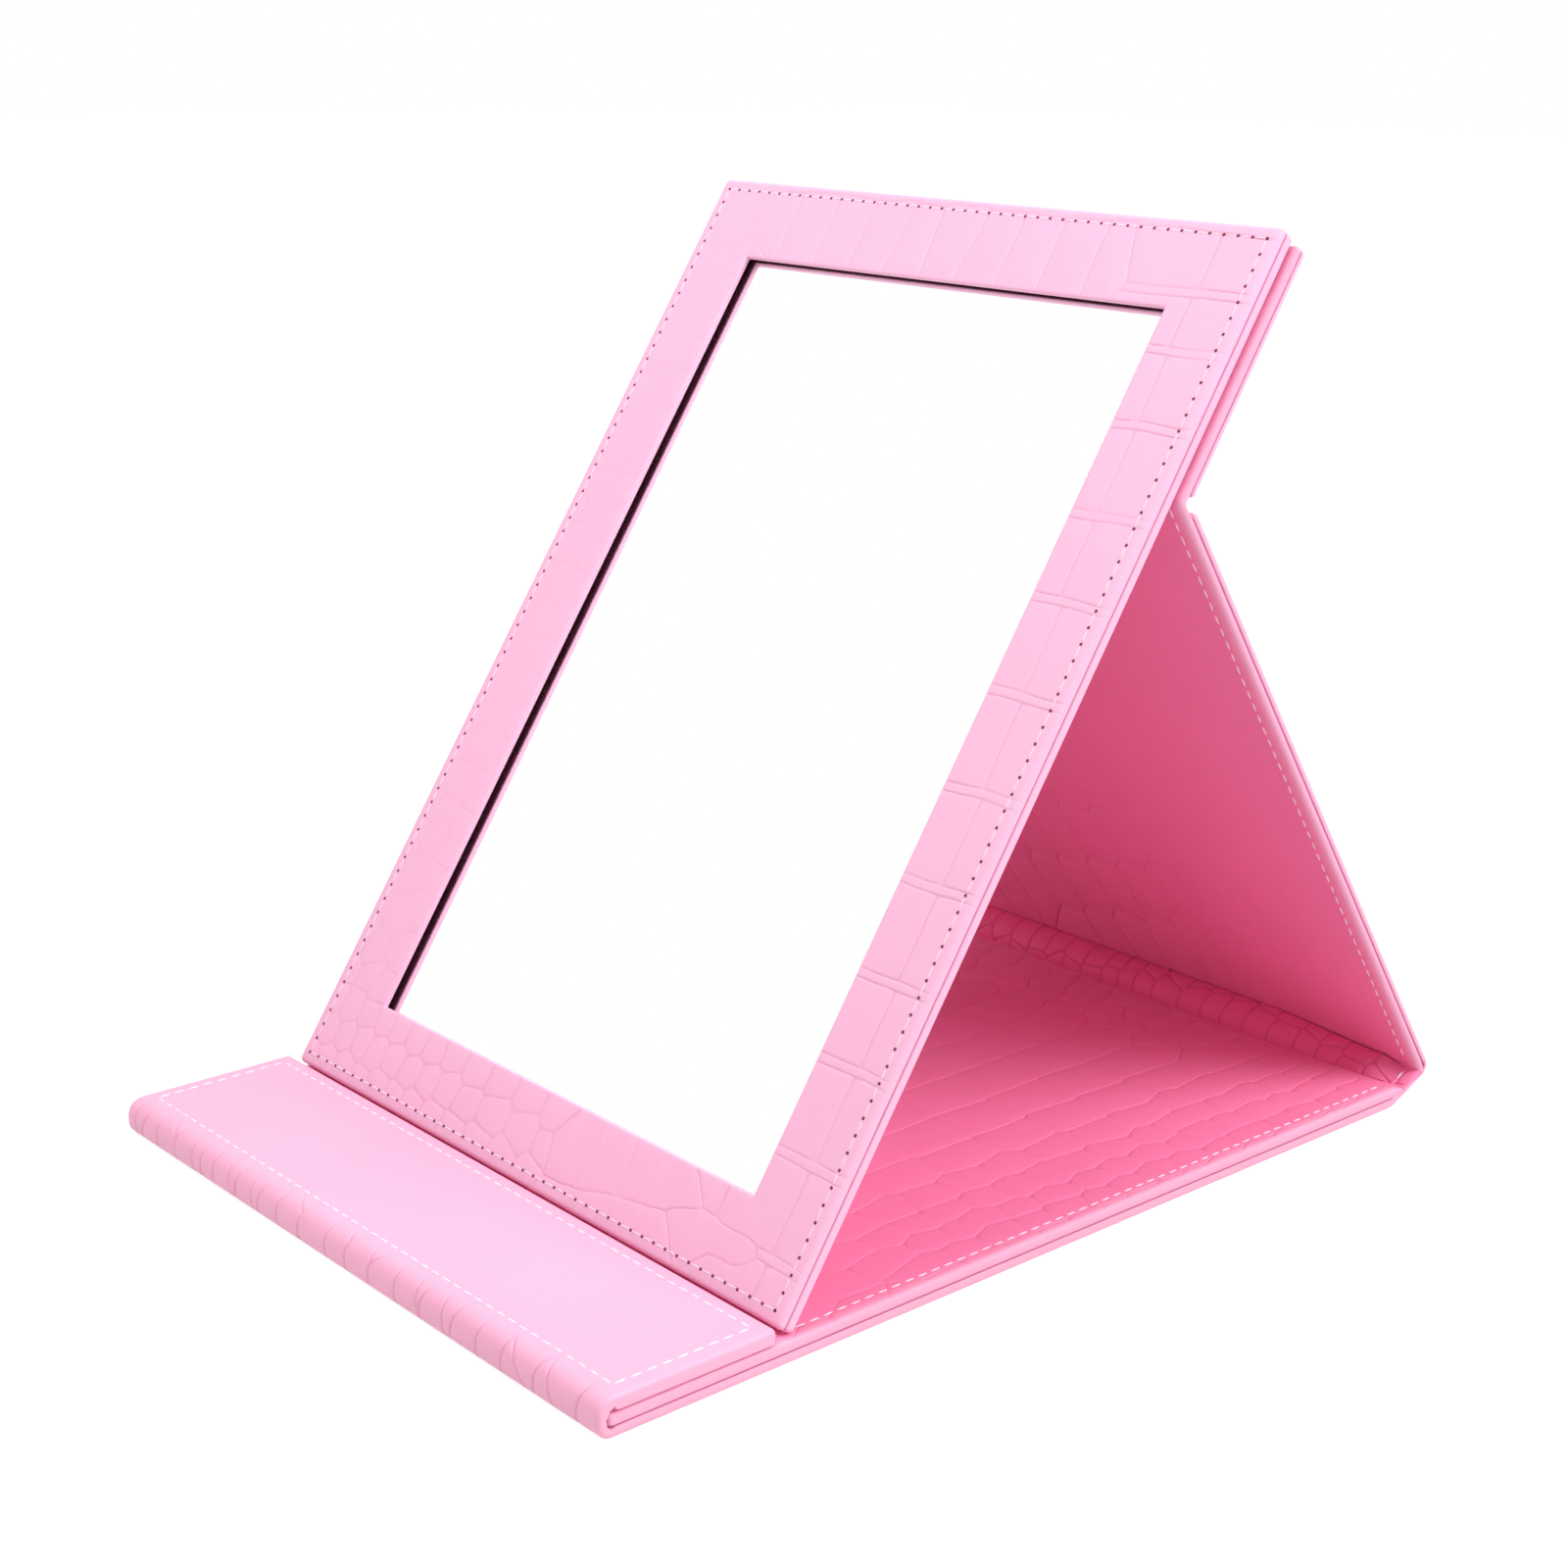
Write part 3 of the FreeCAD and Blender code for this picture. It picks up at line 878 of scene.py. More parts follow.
def silvered_glass(name, colour):
    """Float glass silvered on its back: a clear mirror with the faintest ripple."""
    material, tree, place = textured(name)
    wave = bump(tree, cloud(tree, place, 45, 1.0), 0.05, 0.02)
    surface(tree, {"Base Color": tuple(colour), "Metallic": 1.0, "Roughness": 0.0, "Normal": wave})
    return material


def plated_steel(name, colour):
    """Nickel-plated steel: bright, with fine grinding marks."""
    material, tree, place = textured(name)
    rough = spread(tree, cloud(tree, place, 0.8, 4.0), 0.2, 0.4)
    surface(tree, {"Base Color": tuple(colour), "Metallic": 1.0, "Roughness": rough})
    return material


def finish(name):
    """A finish by its name, made once and labelled in words."""
    label = name.replace("_", " ").capitalize()
    if label in bpy.data.materials:
        return bpy.data.materials[label]
    colours = bpy.context.scene.folio_colours
    # painted light and shade: the lining turns to the cover's paler colour on its lit rolled sides, the roll to the
    # lining's colour at its lit ends
    lit_lining_sides = (colours.leather, 93, 96)
    lit_roll_ends = (colours.lining, 80, 93)
    make, *given = {
        "cover_leather": (embossed_leather, colours.leather, colours.crease),
        "frame_leather": (embossed_leather, colours.frame_leather, colours.crease),
        "lining_leather": (embossed_leather, colours.lining, colours.lining_crease_shade, LINING_GLOSS, lit_lining_sides),
        "roll_leather": (embossed_leather, colours.roll, colours.lining_crease_shade, LINING_GLOSS, lit_roll_ends),
        "white_thread": (sewing_thread, colours.thread),
        "pale_thread": (sewing_thread, colours.pale_thread),
        "needle_hole": (needle_hole, colours.hole),
        "grey_board": (grey_board, colours.board),
        "plum_board": (grey_board, colours.frame_board),
        "paper_tape": (grey_board, colours.tape),
        "silvered_glass": (silvered_glass, colours.glass),
        "plated_steel": (plated_steel, colours.steel),
    }[name]
    return make(label, *given)


# The folio's lines, worked out from the frame

rear_axis = hinge_line("rear_hinge")
leg_axis = hinge_line("leg_hinge")
fold_axis = hinge_line("leg_fold")
front_axis = hinge_line("front_hinge")
flap_axis = hinge_line("flap_hinge")
spine_slope = slope_between(rear_axis, leg_axis)
leg_slope = slope_between(leg_axis, fold_axis)
mirror_slope = glass_slope()


def layer(slope, *boards):
    """The (x, v, w) box of a wrapped layer: its boards and the leather round them."""
    leather = bpy.context.scene.folio_sizes.leather
    low, high = span(slope, *boards)
    grow = Vector((leather, leather, 0))
    return low - grow, high + grow


def meeting(a, slope_a, b, slope_b):
    """Where two lines in the (y, z) plane cross."""
    da = heading(slope_a)
    db = heading(slope_b)
    share = ((b.x - a.x) * db.y - (b.y - a.y) * db.x) / (da.x * db.y - da.y * db.x)
    return a + da * share


def body_piece(piece, body, slot, *nodes):
    """Puts a finished piece on its body in place of CAD nodes."""
    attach(piece, body)
    if nodes:
        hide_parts(*nodes)


def bent_piece(piece, bodies, start, end, slot, *nodes):
    """Lets a finished piece bend between two bodies, in place of CAD nodes."""
    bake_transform(piece, bodies[0], bodies[1], start=(0, start[0], start[1]), end=(0, end[0], end[1]))
    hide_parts(*nodes)


def outer_line():
    """The line of the cover's outer leather: down the leg, under the base and over the flap; and its half width."""
    leather = bpy.context.scene.folio_sizes.leather
    leg_low, leg_high = layer(leg_slope, "leg_board")
    leg_face = leg_low.z - leather
    leg_wall = leg_high.z - leg_face
    spine_low, spine_high = layer(spine_slope, "rear_spine_board")
    spine_face = spine_low.z - leather
    spine_wall = spine_high.z - spine_face
    base_low, base_high = layer(0.0, "base_board")
    base_wall = base_high.z
    flap_low, flap_high = span(0.0, "flap_top_cover", "flap_lining")
    front_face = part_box("front_spine_cover")[0].y
    leg_foot = on_slope(leg_slope, leg_low.y, leg_face)
    spine_end = on_slope(spine_slope, spine_high.y, spine_face)
    line = FoldPath(
        {
            "leg_top": (on_slope(leg_slope, leg_high.y, leg_face), 0.0, leg_wall),
            "leg_low": (leg_foot, 0.0, leg_wall),
            "knee": (meeting(leg_foot, leg_slope, spine_end, spine_slope), 3.2 * MM, spine_wall),
            "mid_spine": (on_slope(spine_slope, (spine_low.y + spine_high.y) / 2, spine_face), 0.0, spine_wall),
            "heel": (meeting(spine_end, spine_slope, Vector((0, 0)), 0.0), 6.0 * MM, base_wall),
            "base_rear": (Vector((base_high.y - 4 * MM, 0)), 0.0, base_wall),
            "mid_base": (Vector((0, 0)), 0.0, base_wall),
            "base_front": (Vector((base_low.y + 2 * MM, 0)), 0.0, base_wall),
            "toe": (Vector((front_face, 0)), 3.8 * MM, 2.4 * MM),
            "mid_front": (Vector((front_face, (front_axis.y + flap_axis.y) / 2)), 0.0, 2.3 * MM),
            "brow": (Vector((front_face, flap_high.z)), 4.2 * MM, 2.8 * MM),
            "flap_front": (Vector((flap_low.y + 2 * MM, flap_high.z)), 0.0, flap_high.z - flap_low.z - 0.1 * MM),
            "flap_rear": (Vector((flap_high.y, flap_high.z)), 0.0, flap_high.z - flap_low.z - 0.1 * MM),
        }
    )
    return line, base_high.x


def inner_line():
    """The line of the lining: over the base, the rounded spine, up the leg and over the fold; and its half width."""
    leather = bpy.context.scene.folio_sizes.leather
    base_low, base_high = layer(0.0, "base_liner_board")
    base_face = base_high.z + leather
    base_wall = base_face - base_low.z
    spine_low, spine_high = span(spine_slope, "rear_spine_lining")
    spine_face = spine_high.z
    leg_low, leg_high = layer(leg_slope, "leg_liner_board")
    leg_face = leg_high.z + leather
    leg_wall = leg_face - leg_low.z
    upper_low, upper_high = layer(mirror_slope, "upper_liner_board")
    upper_face = upper_high.z + leather
    upper_wall = upper_face - upper_low.z
    leg_top = on_slope(leg_slope, leg_high.y, leg_face)
    bend = meeting(leg_top, leg_slope, on_slope(mirror_slope, 0, upper_face), mirror_slope)
    valley = meeting(on_slope(leg_slope, 0, leg_face), leg_slope, on_slope(spine_slope, 0, spine_face), spine_slope)
    spine_start = on_slope(spine_slope, spine_low.y, spine_face)
    thin = 1.8 * MM
    line = FoldPath(
        {
            "base_front": (Vector((base_low.y, base_face)), 0.0, base_wall),
            "base_rear": (Vector((base_high.y - 1.2 * MM, base_face)), 3.0 * MM, base_wall),
            "dip": (spine_start, 0.3 * MM, 0.9 * MM),
            "mid_spine": (spine_start.lerp(valley, 0.5), 0.0, 0.9 * MM),
            "valley": (valley, 0.3 * MM, thin),
            "leg_low": (on_slope(leg_slope, leg_low.y + 2 * MM, leg_face), 0.0, leg_wall),
            "leg_top": (leg_top, 0.0, leg_wall),
            "bend": (bend, 2.6 * MM, thin),
            "upper_low": (on_slope(mirror_slope, upper_low.y + 1 * MM, upper_face), 0.5 * MM, upper_wall),
            "upper_high": (on_slope(mirror_slope, upper_high.y, upper_face), 0.0, upper_wall),
        }
    )
    return line, base_high.x


class FOLIO_OT_outer_leather(bpy.types.Operator):
    """Dress the outside of the cover: leg, spine, base and flap"""

    bl_idname = "folio.outer_leather"
    bl_label = "Cover leather"

    def execute(self, context):
        line, half = outer_line()
        mark = line.mark
        edge = half + SIDE_MARGIN
        fold_low, fold_high = mark["base_front"] - 10 * MM, mark["brow"] + 4 * MM
        # the front pieces: long scales under the base, narrow ones over the fold, wide ones on the flap
        sites = brick_sites(11, (-edge, edge), (-END_MARGIN, fold_low), 12.5 * MM, 26 * MM)
        sites += brick_sites(12, (-edge, edge), (fold_low, fold_high), 9.5 * MM, 26 * MM)
        sites += brick_sites(13, (-edge, edge), (fold_high, line.length + END_MARGIN), 13 * MM, 30 * MM)
        # the rear pieces: belly scales down the leg and under the base
        rear_sites = belly_sites(11, BELLY_COLUMNS, (-END_MARGIN, mark["mid_base"] + 20 * MM), 22.0, 4.0)
        leather = finish("cover_leather")

        def relief(x, s):
            near_fold = smooth_step(s, mark["base_front"] - 9 * MM, mark["base_front"])
            return (1 + 0.4 * near_fold) * (1 - 0.88 * smooth_step(s, mark["brow"] - 1 * MM, mark["brow"] + 7 * MM))

        def piece(name, low, high, hide=sites, stretch=4.5):
            laid = {"keep": (low, high), "stretch": stretch, "seed": 3, "relief": relief}
            return lay_leather(name, line, half, hide, leather, **laid)

        def place(name, share=0.0, toward=None):
            start = line.at(mark[name])[0]
            return start.lerp(line.at(mark[toward])[0], share) if toward else start

        board_low = span(leg_slope, "leg_board")[0]
        bent_piece(
            piece("leg_outer_leather", -1, mark["mid_spine"], rear_sites, 1.6),
            ("rear_spine", "leg"),
            place("mid_spine", 0.55, "knee"),
            on_slope(leg_slope, board_low.y, board_low.z),
            "embossed_leather",
            "leg_outer_cover",
            "leg_hinge_crease",
            "rear_spine_cover",
        )
        bent_piece(
            piece("base_outer_leather_rear", mark["mid_spine"], mark["mid_base"], rear_sites, 1.6),
            ("base", "rear_spine"),
            place("base_rear") + Vector((2 * MM, 0)),
            place("mid_spine", 0.3, "heel"),
            "embossed_leather",
            "base_outer_cover",
            "base_rear_crease",
        )
        bent_piece(
            piece("base_outer_leather_front", mark["mid_base"], mark["mid_front"]),
            ("base", "front_spine"),
            place("base_front") + Vector((-1 * MM, 0.4 * MM)),
            place("mid_front"),
            "embossed_leather",
            "base_outer_cover",
            "base_front_crease",
        )
        bent_piece(
            piece("flap_outer_leather", mark["mid_front"], 1),
            ("front_spine", "flap"),
            place("mid_front"),
            place("flap_front") + Vector((0, -1 * MM)),
            "smooth_leather",
            "flap_top_cover",
            "flap_hinge_crease",
            "front_spine_cover",
        )
        return {"FINISHED"}


class FOLIO_OT_lining(bpy.types.Operator):
    """Dress the inside of the cover: base, rounded spine, leg and the fold behind the mirror"""

    bl_idname = "folio.lining"
    bl_label = "Lining"

    def execute(self, context):
        line, half = inner_line()
        mark = line.mark
        edge = half + SIDE_MARGIN
        self.base_lining(line, half, edge)
        self.spine_lining(line, half, edge)
        leg_s, top_s = mark["leg_low"], mark["leg_top"]
        sites = belly_sites(25, BELLY_COLUMNS, (mark["valley"] + 4 * MM, line.length + END_MARGIN), 23.0, 4.0)

        def relief(x, s):
            low_left = (1 - smooth_step(x, 0, 45 * MM)) * (1 - smooth_step(s, leg_s + 60 * MM, leg_s + 110 * MM))
            return (0.1 + 0.9 * low_left) * smooth_step(s, mark["valley"], leg_s)

        lining = finish("lining_leather")
        laid = {"stretch": 1.6, "depth": 2.0, "seed": 6, "relief": relief, "cross": 0.6}
        piece = lay_leather("leg_lining", line, half, sites, lining, keep=(mark["valley"], top_s), **laid)
        # a very short bend, so that no part of it rises against the mirror's back when the folio lies flat
        valley = line.at(mark["valley"])[0]
        bend_end = valley + heading(leg_slope) * 0.02 * MM
        bent_piece(piece, ("rear_spine", "leg"), valley, bend_end, "embossed_leather", "leg_inner_cover")
        piece = lay_leather("fold_lining", line, half, sites, lining, keep=(top_s, 1), **laid)
        bent_piece(
            piece,
            ("leg", "mirror_head"),
            line.at(top_s)[0],
            line.at(mark["upper_low"])[0],
            "embossed_leather",
            "leg_fold_crease",
            "upper_inner_cover",
        )
        self.flap_lining(half)
        return {"FINISHED"}

    def rear_bend(self, line):
        """Where the lining starts to follow the rear spine, and where it follows it fully."""
        mark = line.mark
        return line.at(mark["base_rear"])[0] + Vector((0.6 * MM, 0)), line.at(mark["dip"])[0] + Vector((1.5 * MM, 0))

    def base_lining(self, line, half, edge):
        """Large scales in rows, small ones towards the sides and before the spine."""
        mark = line.mark
        rear = mark["base_rear"] - 34 * MM
        columns = [*range(-110, -61, 8), -53, -43, -30.5, -16, 0, 16, 32.5, 47, 59.5, 69.5, *range(78, 111, 8)]
        sites = belly_sites(21, columns, (-END_MARGIN, rear), 19.6)
        sites = [p for p in sites if p[0] < 50 * MM or p[1] > 84 * MM]
        sites += brick_sites(22, (50 * MM, edge), (-END_MARGIN, 84 * MM), 11 * MM, 14 * MM, 0.4, 0.2)
        sites += [p for p in belly_sites(23, columns, (rear, mark["dip"] + 2 * MM), 14.5) if p[0] > 40 * MM]
        sites += brick_sites(27, (-edge, 40 * MM), (rear, mark["dip"] + 2 * MM), 11 * MM, 13 * MM, 0.3, 0.2)

        def relief(x, s):
            return 1 - smooth_step(s, mark["base_rear"] - 2 * MM, mark["base_rear"])

        piece = lay_leather(
            "base_lining",
            line,
            half,
            sites,
            finish("lining_leather"),
            keep=(-1, mark["dip"]),
            stretch=1.6,
            depth=1.4,
            seed=6,
            relief=relief,
            cross=0.4,
            tint=0.3,
        )
        bent_piece(piece, ("base", "rear_spine"), *self.rear_bend(line), "embossed_leather", "base_inner_cover")

    def spine_lining(self, line, half, edge):
        """The rounded roll: short creases across it and a wavy one along it."""
        sizes = bpy.context.scene.folio_sizes
        rng = random.Random(24)
        low, high = line.mark["dip"], line.mark["valley"]
        sites = []
        x = -edge
        while x < edge:
            share = 0.5 + 0.3 * math.sin(x / (24 * MM))
            for start, end in ((0.0, share), (share, 1.0)):
                middle = low + (high - low) * (start + end) / 2
                radius = (high - low) * (end - start) / 2
                sites.append((x + rng.uniform(-1.2, 1.2) * MM, middle, radius, None))
            x += rng.uniform(6, 9) * MM

        def relief(x, s):
            return 1.2 * smooth_step(s, low, low + 0.8 * MM) * (1 - smooth_step(s, high - 0.8 * MM, high))

        dip, valley = line.at(low)[0], line.at(high)[0]
        corner = meeting(line.at(0.0)[0], 0.0, valley, leg_slope)
        up_leg = heading(leg_slope)
        foot = corner + Vector((-sizes.roll_foot, -sizes.press))
        head = corner + up_leg * sizes.roll_head + Vector((up_leg.y, -up_leg.x)) * sizes.press
        handle = 0.56  # how far the curve's handles reach, as a share of its height and width
        front = foot + Vector((-0.15, 1.0)) * handle * (head.y - foot.y)
        crown = head - Vector((1.0, 0.1)) * handle * (head.x - foot.x)
        foot_share, head_share = 0.06, 0.92  # where along the sheet the roll starts and ends

        def roll(share):
            """The (y, z) place on the roll: from the dip to its foot, over its front to the leg, to the valley."""
            t = min(max((share - foot_share) / (head_share - foot_share), 0.0), 1.0)
            place = foot * (1 - t) ** 3 + front * 3 * t * (1 - t) ** 2 + crown * 3 * t * t * (1 - t) + head * t**3
            if share < foot_share:
                return dip.lerp(place, share / foot_share)
            return place.lerp(valley, max(share - head_share, 0.0) / (1 - head_share))

        def swell(x, s):
            inside = half - abs(x)
            full = smooth_step(inside, 4.4 * MM, 11 * MM) * (0.42 + 0.58 * smooth_step(inside, 9 * MM, 48 * MM))
            return (roll((s - low) / (high - low)) - line.at(s)[0]) * full

        # its leather is drawn deeper than the lining's, a painted shade
        piece = lay_leather(
            "spine_lining",
            line,
            half,
            sites,
            finish("roll_leather"),
            keep=(low, high),
            depth=1.8,
            seed=6,
            relief=relief,
            swell=swell,
        )
        bent_piece(piece, ("base", "rear_spine"), *self.rear_bend(line), "embossed_leather", "rear_spine_lining")

    def flap_lining(self, half):
        """The lining under the flap and inside the front fold, tucked in behind the outer leather."""
        inset = 0.7 * MM
        flap_low, flap_high = span(0.0, "flap_lining")
        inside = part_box("front_spine_lining")[1].y
        base_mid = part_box("base_board")[1].z - 0.1 * MM
        thin = 0.8 * MM
        line = FoldPath(
            {
                "rear": (Vector((flap_high.y - inset, flap_low.z)), 0.0, thin),
                "brow": (Vector((inside, flap_low.z)), 0.3 * MM, thin),
                "middle": (Vector((inside, (front_axis.y + flap_axis.y) / 2)), 0.0, thin),
                "toe": (Vector((inside, base_mid)), 0.3 * MM, thin),
                "end": (Vector((inside + 4 * MM, base_mid)), 0.0, thin),
            }
        )
        middle = line.mark["middle"]
        place = line.at(middle)[0]
        edge = half + SIDE_MARGIN
        sites = brick_sites(26, (-edge, edge), (-END_MARGIN, line.length + END_MARGIN), 13 * MM, 24 * MM)
        laid = {"rolled": (True, False), "seed": 9, "depth": 0.5}
        lining = finish("lining_leather")
        piece = lay_leather("flap_lining_leather", line, half - inset, sites, lining, keep=(-1, middle), **laid)
        bent_piece(
            piece,
            ("front_spine", "flap"),
            place,
            (flap_low.y + 1 * MM, flap_low.z),
            "smooth_leather",
            "flap_lining",
            "front_spine_lining",
        )
        piece = lay_leather("front_fold_lining", line, half - inset, sites, lining, keep=(middle, 1), **laid)
        start = (inside + 2 * MM, base_mid)
        bent_piece(piece, ("base", "front_spine"), start, place, "smooth_leather", "base_front_crease")


class FOLIO_OT_mirror_leather(bpy.types.Operator):
    """Dress the mirror's frame, its back and the upper panel behind it"""

    bl_idname = "folio.mirror_leather"
    bl_label = "Mirror leather"

    def execute(self, context):
        sizes = context.scene.folio_sizes
        leather = finish("frame_leather")
        low, high = layer(mirror_slope, *("frame_board_" + side for side in ("bottom", "top", "left", "right")))
        face = high.z + sizes.leather
        window = (
            span(mirror_slope, "frame_board_right")[0].x - sizes.leather,
            span(mirror_slope, "frame_board_bottom")[1].y + sizes.leather - low.y,
            span(mirror_slope, "frame_board_top")[0].y - sizes.leather - low.y,
        )
        sites = frame_sites(31, high.x, window)

        def relief(x, s):
            worn = 0.72 + 0.5 * noise.noise(Vector((x, s, 0)) / (24 * MM))
            left = 1 - smooth_step(x, -window[0] - 1 * MM, -window[0] + 8 * MM)
            return worn * (1 - 0.72 * left * smooth_step(s, window[1] - 5 * MM, window[1] + 30 * MM))

        path = self.panel(low, high, face, face - low.z)
        laid = {"window": window, "seed": 12, "relief": relief}
        piece = lay_leather("mirror_front_leather", path, high.x, sites, leather, **laid)
        body_piece(piece, "mirror_head", "embossed_leather", "mirror_front_cover")
        back_low, back_high = layer(mirror_slope, "mirror_back_board")
        back_face = back_low.z - sizes.leather
        back = self.panel(back_high, back_low, back_face, low.z - back_face)
        edge = high.x + SIDE_MARGIN
        sites = brick_sites(32, (-edge, edge), (-END_MARGIN, back.length + END_MARGIN), 12 * MM, 22 * MM)
        piece = lay_leather("mirror_back_leather", back, high.x, sites, leather, seed=13, depth=0.7)
        body_piece(piece, "mirror_head", "embossed_leather", "mirror_back_cover")
        upper_low, upper_high = layer(mirror_slope, "upper_board")
        upper_face = upper_low.z - sizes.leather
        upper = self.panel(upper_high, upper_low, upper_face, upper_high.z - upper_face)
        sites = brick_sites(33, (-edge, edge), (-END_MARGIN, upper.length + END_MARGIN), 12.5 * MM, 26 * MM)
        piece = lay_leather("upper_outer_leather", upper, upper_high.x, sites, leather, stretch=2.0, seed=14)
        body_piece(piece, "mirror_head", "embossed_leather", "upper_outer_cover")
        return {"FINISHED"}

    def panel(self, start, end, face, wall):
        """The straight line of a panel's leather on the mirror's slope."""
        return FoldPath(
            {
                "start": (on_slope(mirror_slope, start.y, face), 0.0, wall),
                "end": (on_slope(mirror_slope, end.y, face), 0.0, wall),
            }
        )


# Stitching


def new_tree(name, sockets):
    """An empty geometry tree with its named inputs, and the inputs' sockets."""
    tree = bpy.data.node_groups.new(name, "GeometryNodeTree")
    tree.interface.new_socket("Rows", in_out="INPUT", socket_type="NodeSocketGeometry")
    for label, kind in sockets:
        tree.interface.new_socket(label, in_out="INPUT", socket_type=kind)
    tree.interface.new_socket("Sewing", in_out="OUTPUT", socket_type="NodeSocketGeometry")
    return tree, add_node(tree, "NodeGroupInput").outputs


def end_tree(tree, instances, material):
    """Makes the instances real and gives them their finish."""
    real = add_node(tree, "GeometryNodeRealizeInstances", {"Geometry": instances})
    dressed = add_node(tree, "GeometryNodeSetMaterial", {"Geometry": real.outputs[0], "Material": material})
    add_node(tree, "NodeGroupOutput", {"Sewing": dressed.outputs[0]})
    return tree


def spaced_row(tree, given):
    """The rows as lines with a point at every needle hole."""
    curve = add_node(tree, "GeometryNodeMeshToCurve", {"Mesh": given["Rows"]})
    sockets = {"Curve": curve.outputs[0], "Length": given["Pitch"]}
    spaced = add_node(tree, "GeometryNodeResampleCurve", sockets, mode="LENGTH")
    return add_node(tree, "GeometryNodeCurveToMesh", {"Curve": spaced.outputs[0]}).outputs[0]


def stitch_tree():
    """Geometry nodes that sew one stitch between every two needle holes."""
    number = "NodeSocketFloat"
    tree, given = new_tree(
        "Stitch row",
        (
            ("Pitch", number),
            ("Stitch length", number),
            ("Thread", number),
            ("Face normal", "NodeSocketVector"),
            ("Finish", "NodeSocketMaterial"),
        ),
    )
    ends = add_node(tree, "GeometryNodeInputMeshEdgeVertices")
    points = {0: ends.outputs["Position 2"], 1: ends.outputs["Position 1"]}
    along = add_node(tree, "ShaderNodeVectorMath", points, operation="SUBTRACT")
    kept = add_node(tree, "GeometryNodeCaptureAttribute", {"Geometry": spaced_row(tree, given)}, domain="EDGE")
    kept.capture_items.new("VECTOR", "Along")
    tree.links.new(along.outputs[0], kept.inputs["Along"])
    middles = add_node(tree, "GeometryNodeMeshToPoints", {"Mesh": kept.outputs["Geometry"]}, mode="EDGES")
    aim = add_node(tree, "FunctionNodeAlignRotationToVector", {"Vector": kept.outputs["Along"]}, axis="X")
    lie = add_node(
        tree,
        "FunctionNodeAlignRotationToVector",
        {"Rotation": aim.outputs[0], "Vector": given["Face normal"]},
        axis="Z",
        pivot_axis="X",
    )
    # a bead of radius 1 is drawn out to half the stitch, half the thread's width and a lower height
    scales = {
        axis: math_of(tree, "MULTIPLY", given[length], share)
        for axis, length, share in (("X", "Stitch length", 0.5), ("Y", "Thread", 0.5), ("Z", "Thread", 0.34))
    }
    size = add_node(tree, "ShaderNodeCombineXYZ", scales)
    bead = add_node(tree, "GeometryNodeMeshUVSphere", {"Segments": 8, "Rings": 6, "Radius": 1.0})
    turned = add_node(
        tree, "GeometryNodeTransform", {"Geometry": bead.outputs["Mesh"], "Rotation": (0.0, math.pi / 2, 0.0)}
    )
    smooth = add_node(tree, "GeometryNodeSetShadeSmooth", {"Geometry": turned.outputs[0]})
    laid = {"Points": middles.outputs[0], "Instance": smooth.outputs[0]}
    turns = {"Rotation": lie.outputs[0], "Scale": size.outputs[0]}
    sewn = add_node(tree, "GeometryNodeInstanceOnPoints", {**laid, **turns})
    return end_tree(tree, sewn.outputs[0], given["Finish"])


def hole_tree():
    """Geometry nodes that prick the needle holes of a row."""
    tree, given = new_tree(
        "Needle holes",
        (
            ("Pitch", "NodeSocketFloat"),
            ("Hole radius", "NodeSocketFloat"),
            ("Face normal", "NodeSocketVector"),
            ("Finish", "NodeSocketMaterial"),
        ),
    )
    pricks = add_node(tree, "GeometryNodeMeshToPoints", {"Mesh": spaced_row(tree, given)}, mode="VERTICES")
    dot = add_node(
        tree, "GeometryNodeMeshCircle", {"Vertices": 10, "Radius": given["Hole radius"]}, fill_type="TRIANGLE_FAN"
    )
    face = add_node(tree, "FunctionNodeAlignRotationToVector", {"Vector": given["Face normal"]}, axis="Z")
    holes = add_node(
        tree,
        "GeometryNodeInstanceOnPoints",
        {"Points": pricks.outputs[0], "Instance": dot.outputs["Mesh"], "Rotation": face.outputs[0]},
    )
    return end_tree(tree, holes.outputs[0], given["Finish"])


def sew(name, rows, normal, tree, lift=0.0, **values):
    """Runs a sewing tree along straight rows, each a pair of points, on a face with this normal."""
    verts, edges = [], []
    for start, end in rows:
        edges.append((len(verts), len(verts) + 1))
        verts += [Vector(start) + normal * lift, Vector(end) + normal * lift]
    mesh = bpy.data.meshes.new(name)
    mesh.from_pydata(verts, edges, [])
    piece = bpy.data.objects.new(name, mesh)
    bpy.context.scene.collection.objects.link(piece)
    sewing = piece.modifiers.new("Sewing", "NODES")
    sewing.node_group = tree
    given = {"Face normal": normal, "Pitch": bpy.context.scene.folio_sizes.pitch}
    given.update({key.replace("_", " ").capitalize(): value for key, value in values.items()})
    for item in tree.interface.items_tree:
        if item.in_out == "INPUT" and item.name in given:
            sewing[item.identifier] = given[item.name]
    apply_modifiers(piece)
    return piece


def panel_rows(slope, node, sides, w, inset=0.0):
    """The rows of stitches along chosen sides of a CAD thread ring, as pairs of points at w."""
    low, high = span(slope, node)
    half_thread = CAD_THREAD + inset
    x_low, x_high = low.x + half_thread, high.x - half_thread
    v_low, v_high = low.y + half_thread, high.y - half_thread

    def point(x, v):
        place = on_slope(slope, v, w)
        return Vector((x, place.x, place.y))

    rows = {
        "left": (point(x_low, v_low), point(x_low, v_high)),
        "right": (point(x_high, v_low), point(x_high, v_high)),
        "low": (point(x_low, v_low), point(x_high, v_low)),
        "high": (point(x_low, v_high), point(x_high, v_high)),
    }
    return [rows[side] for side in sides]


def face_normal(slope, sign=1):
    """A panel's outward normal."""
    return Vector((0, -math.sin(slope), math.cos(slope))) * sign


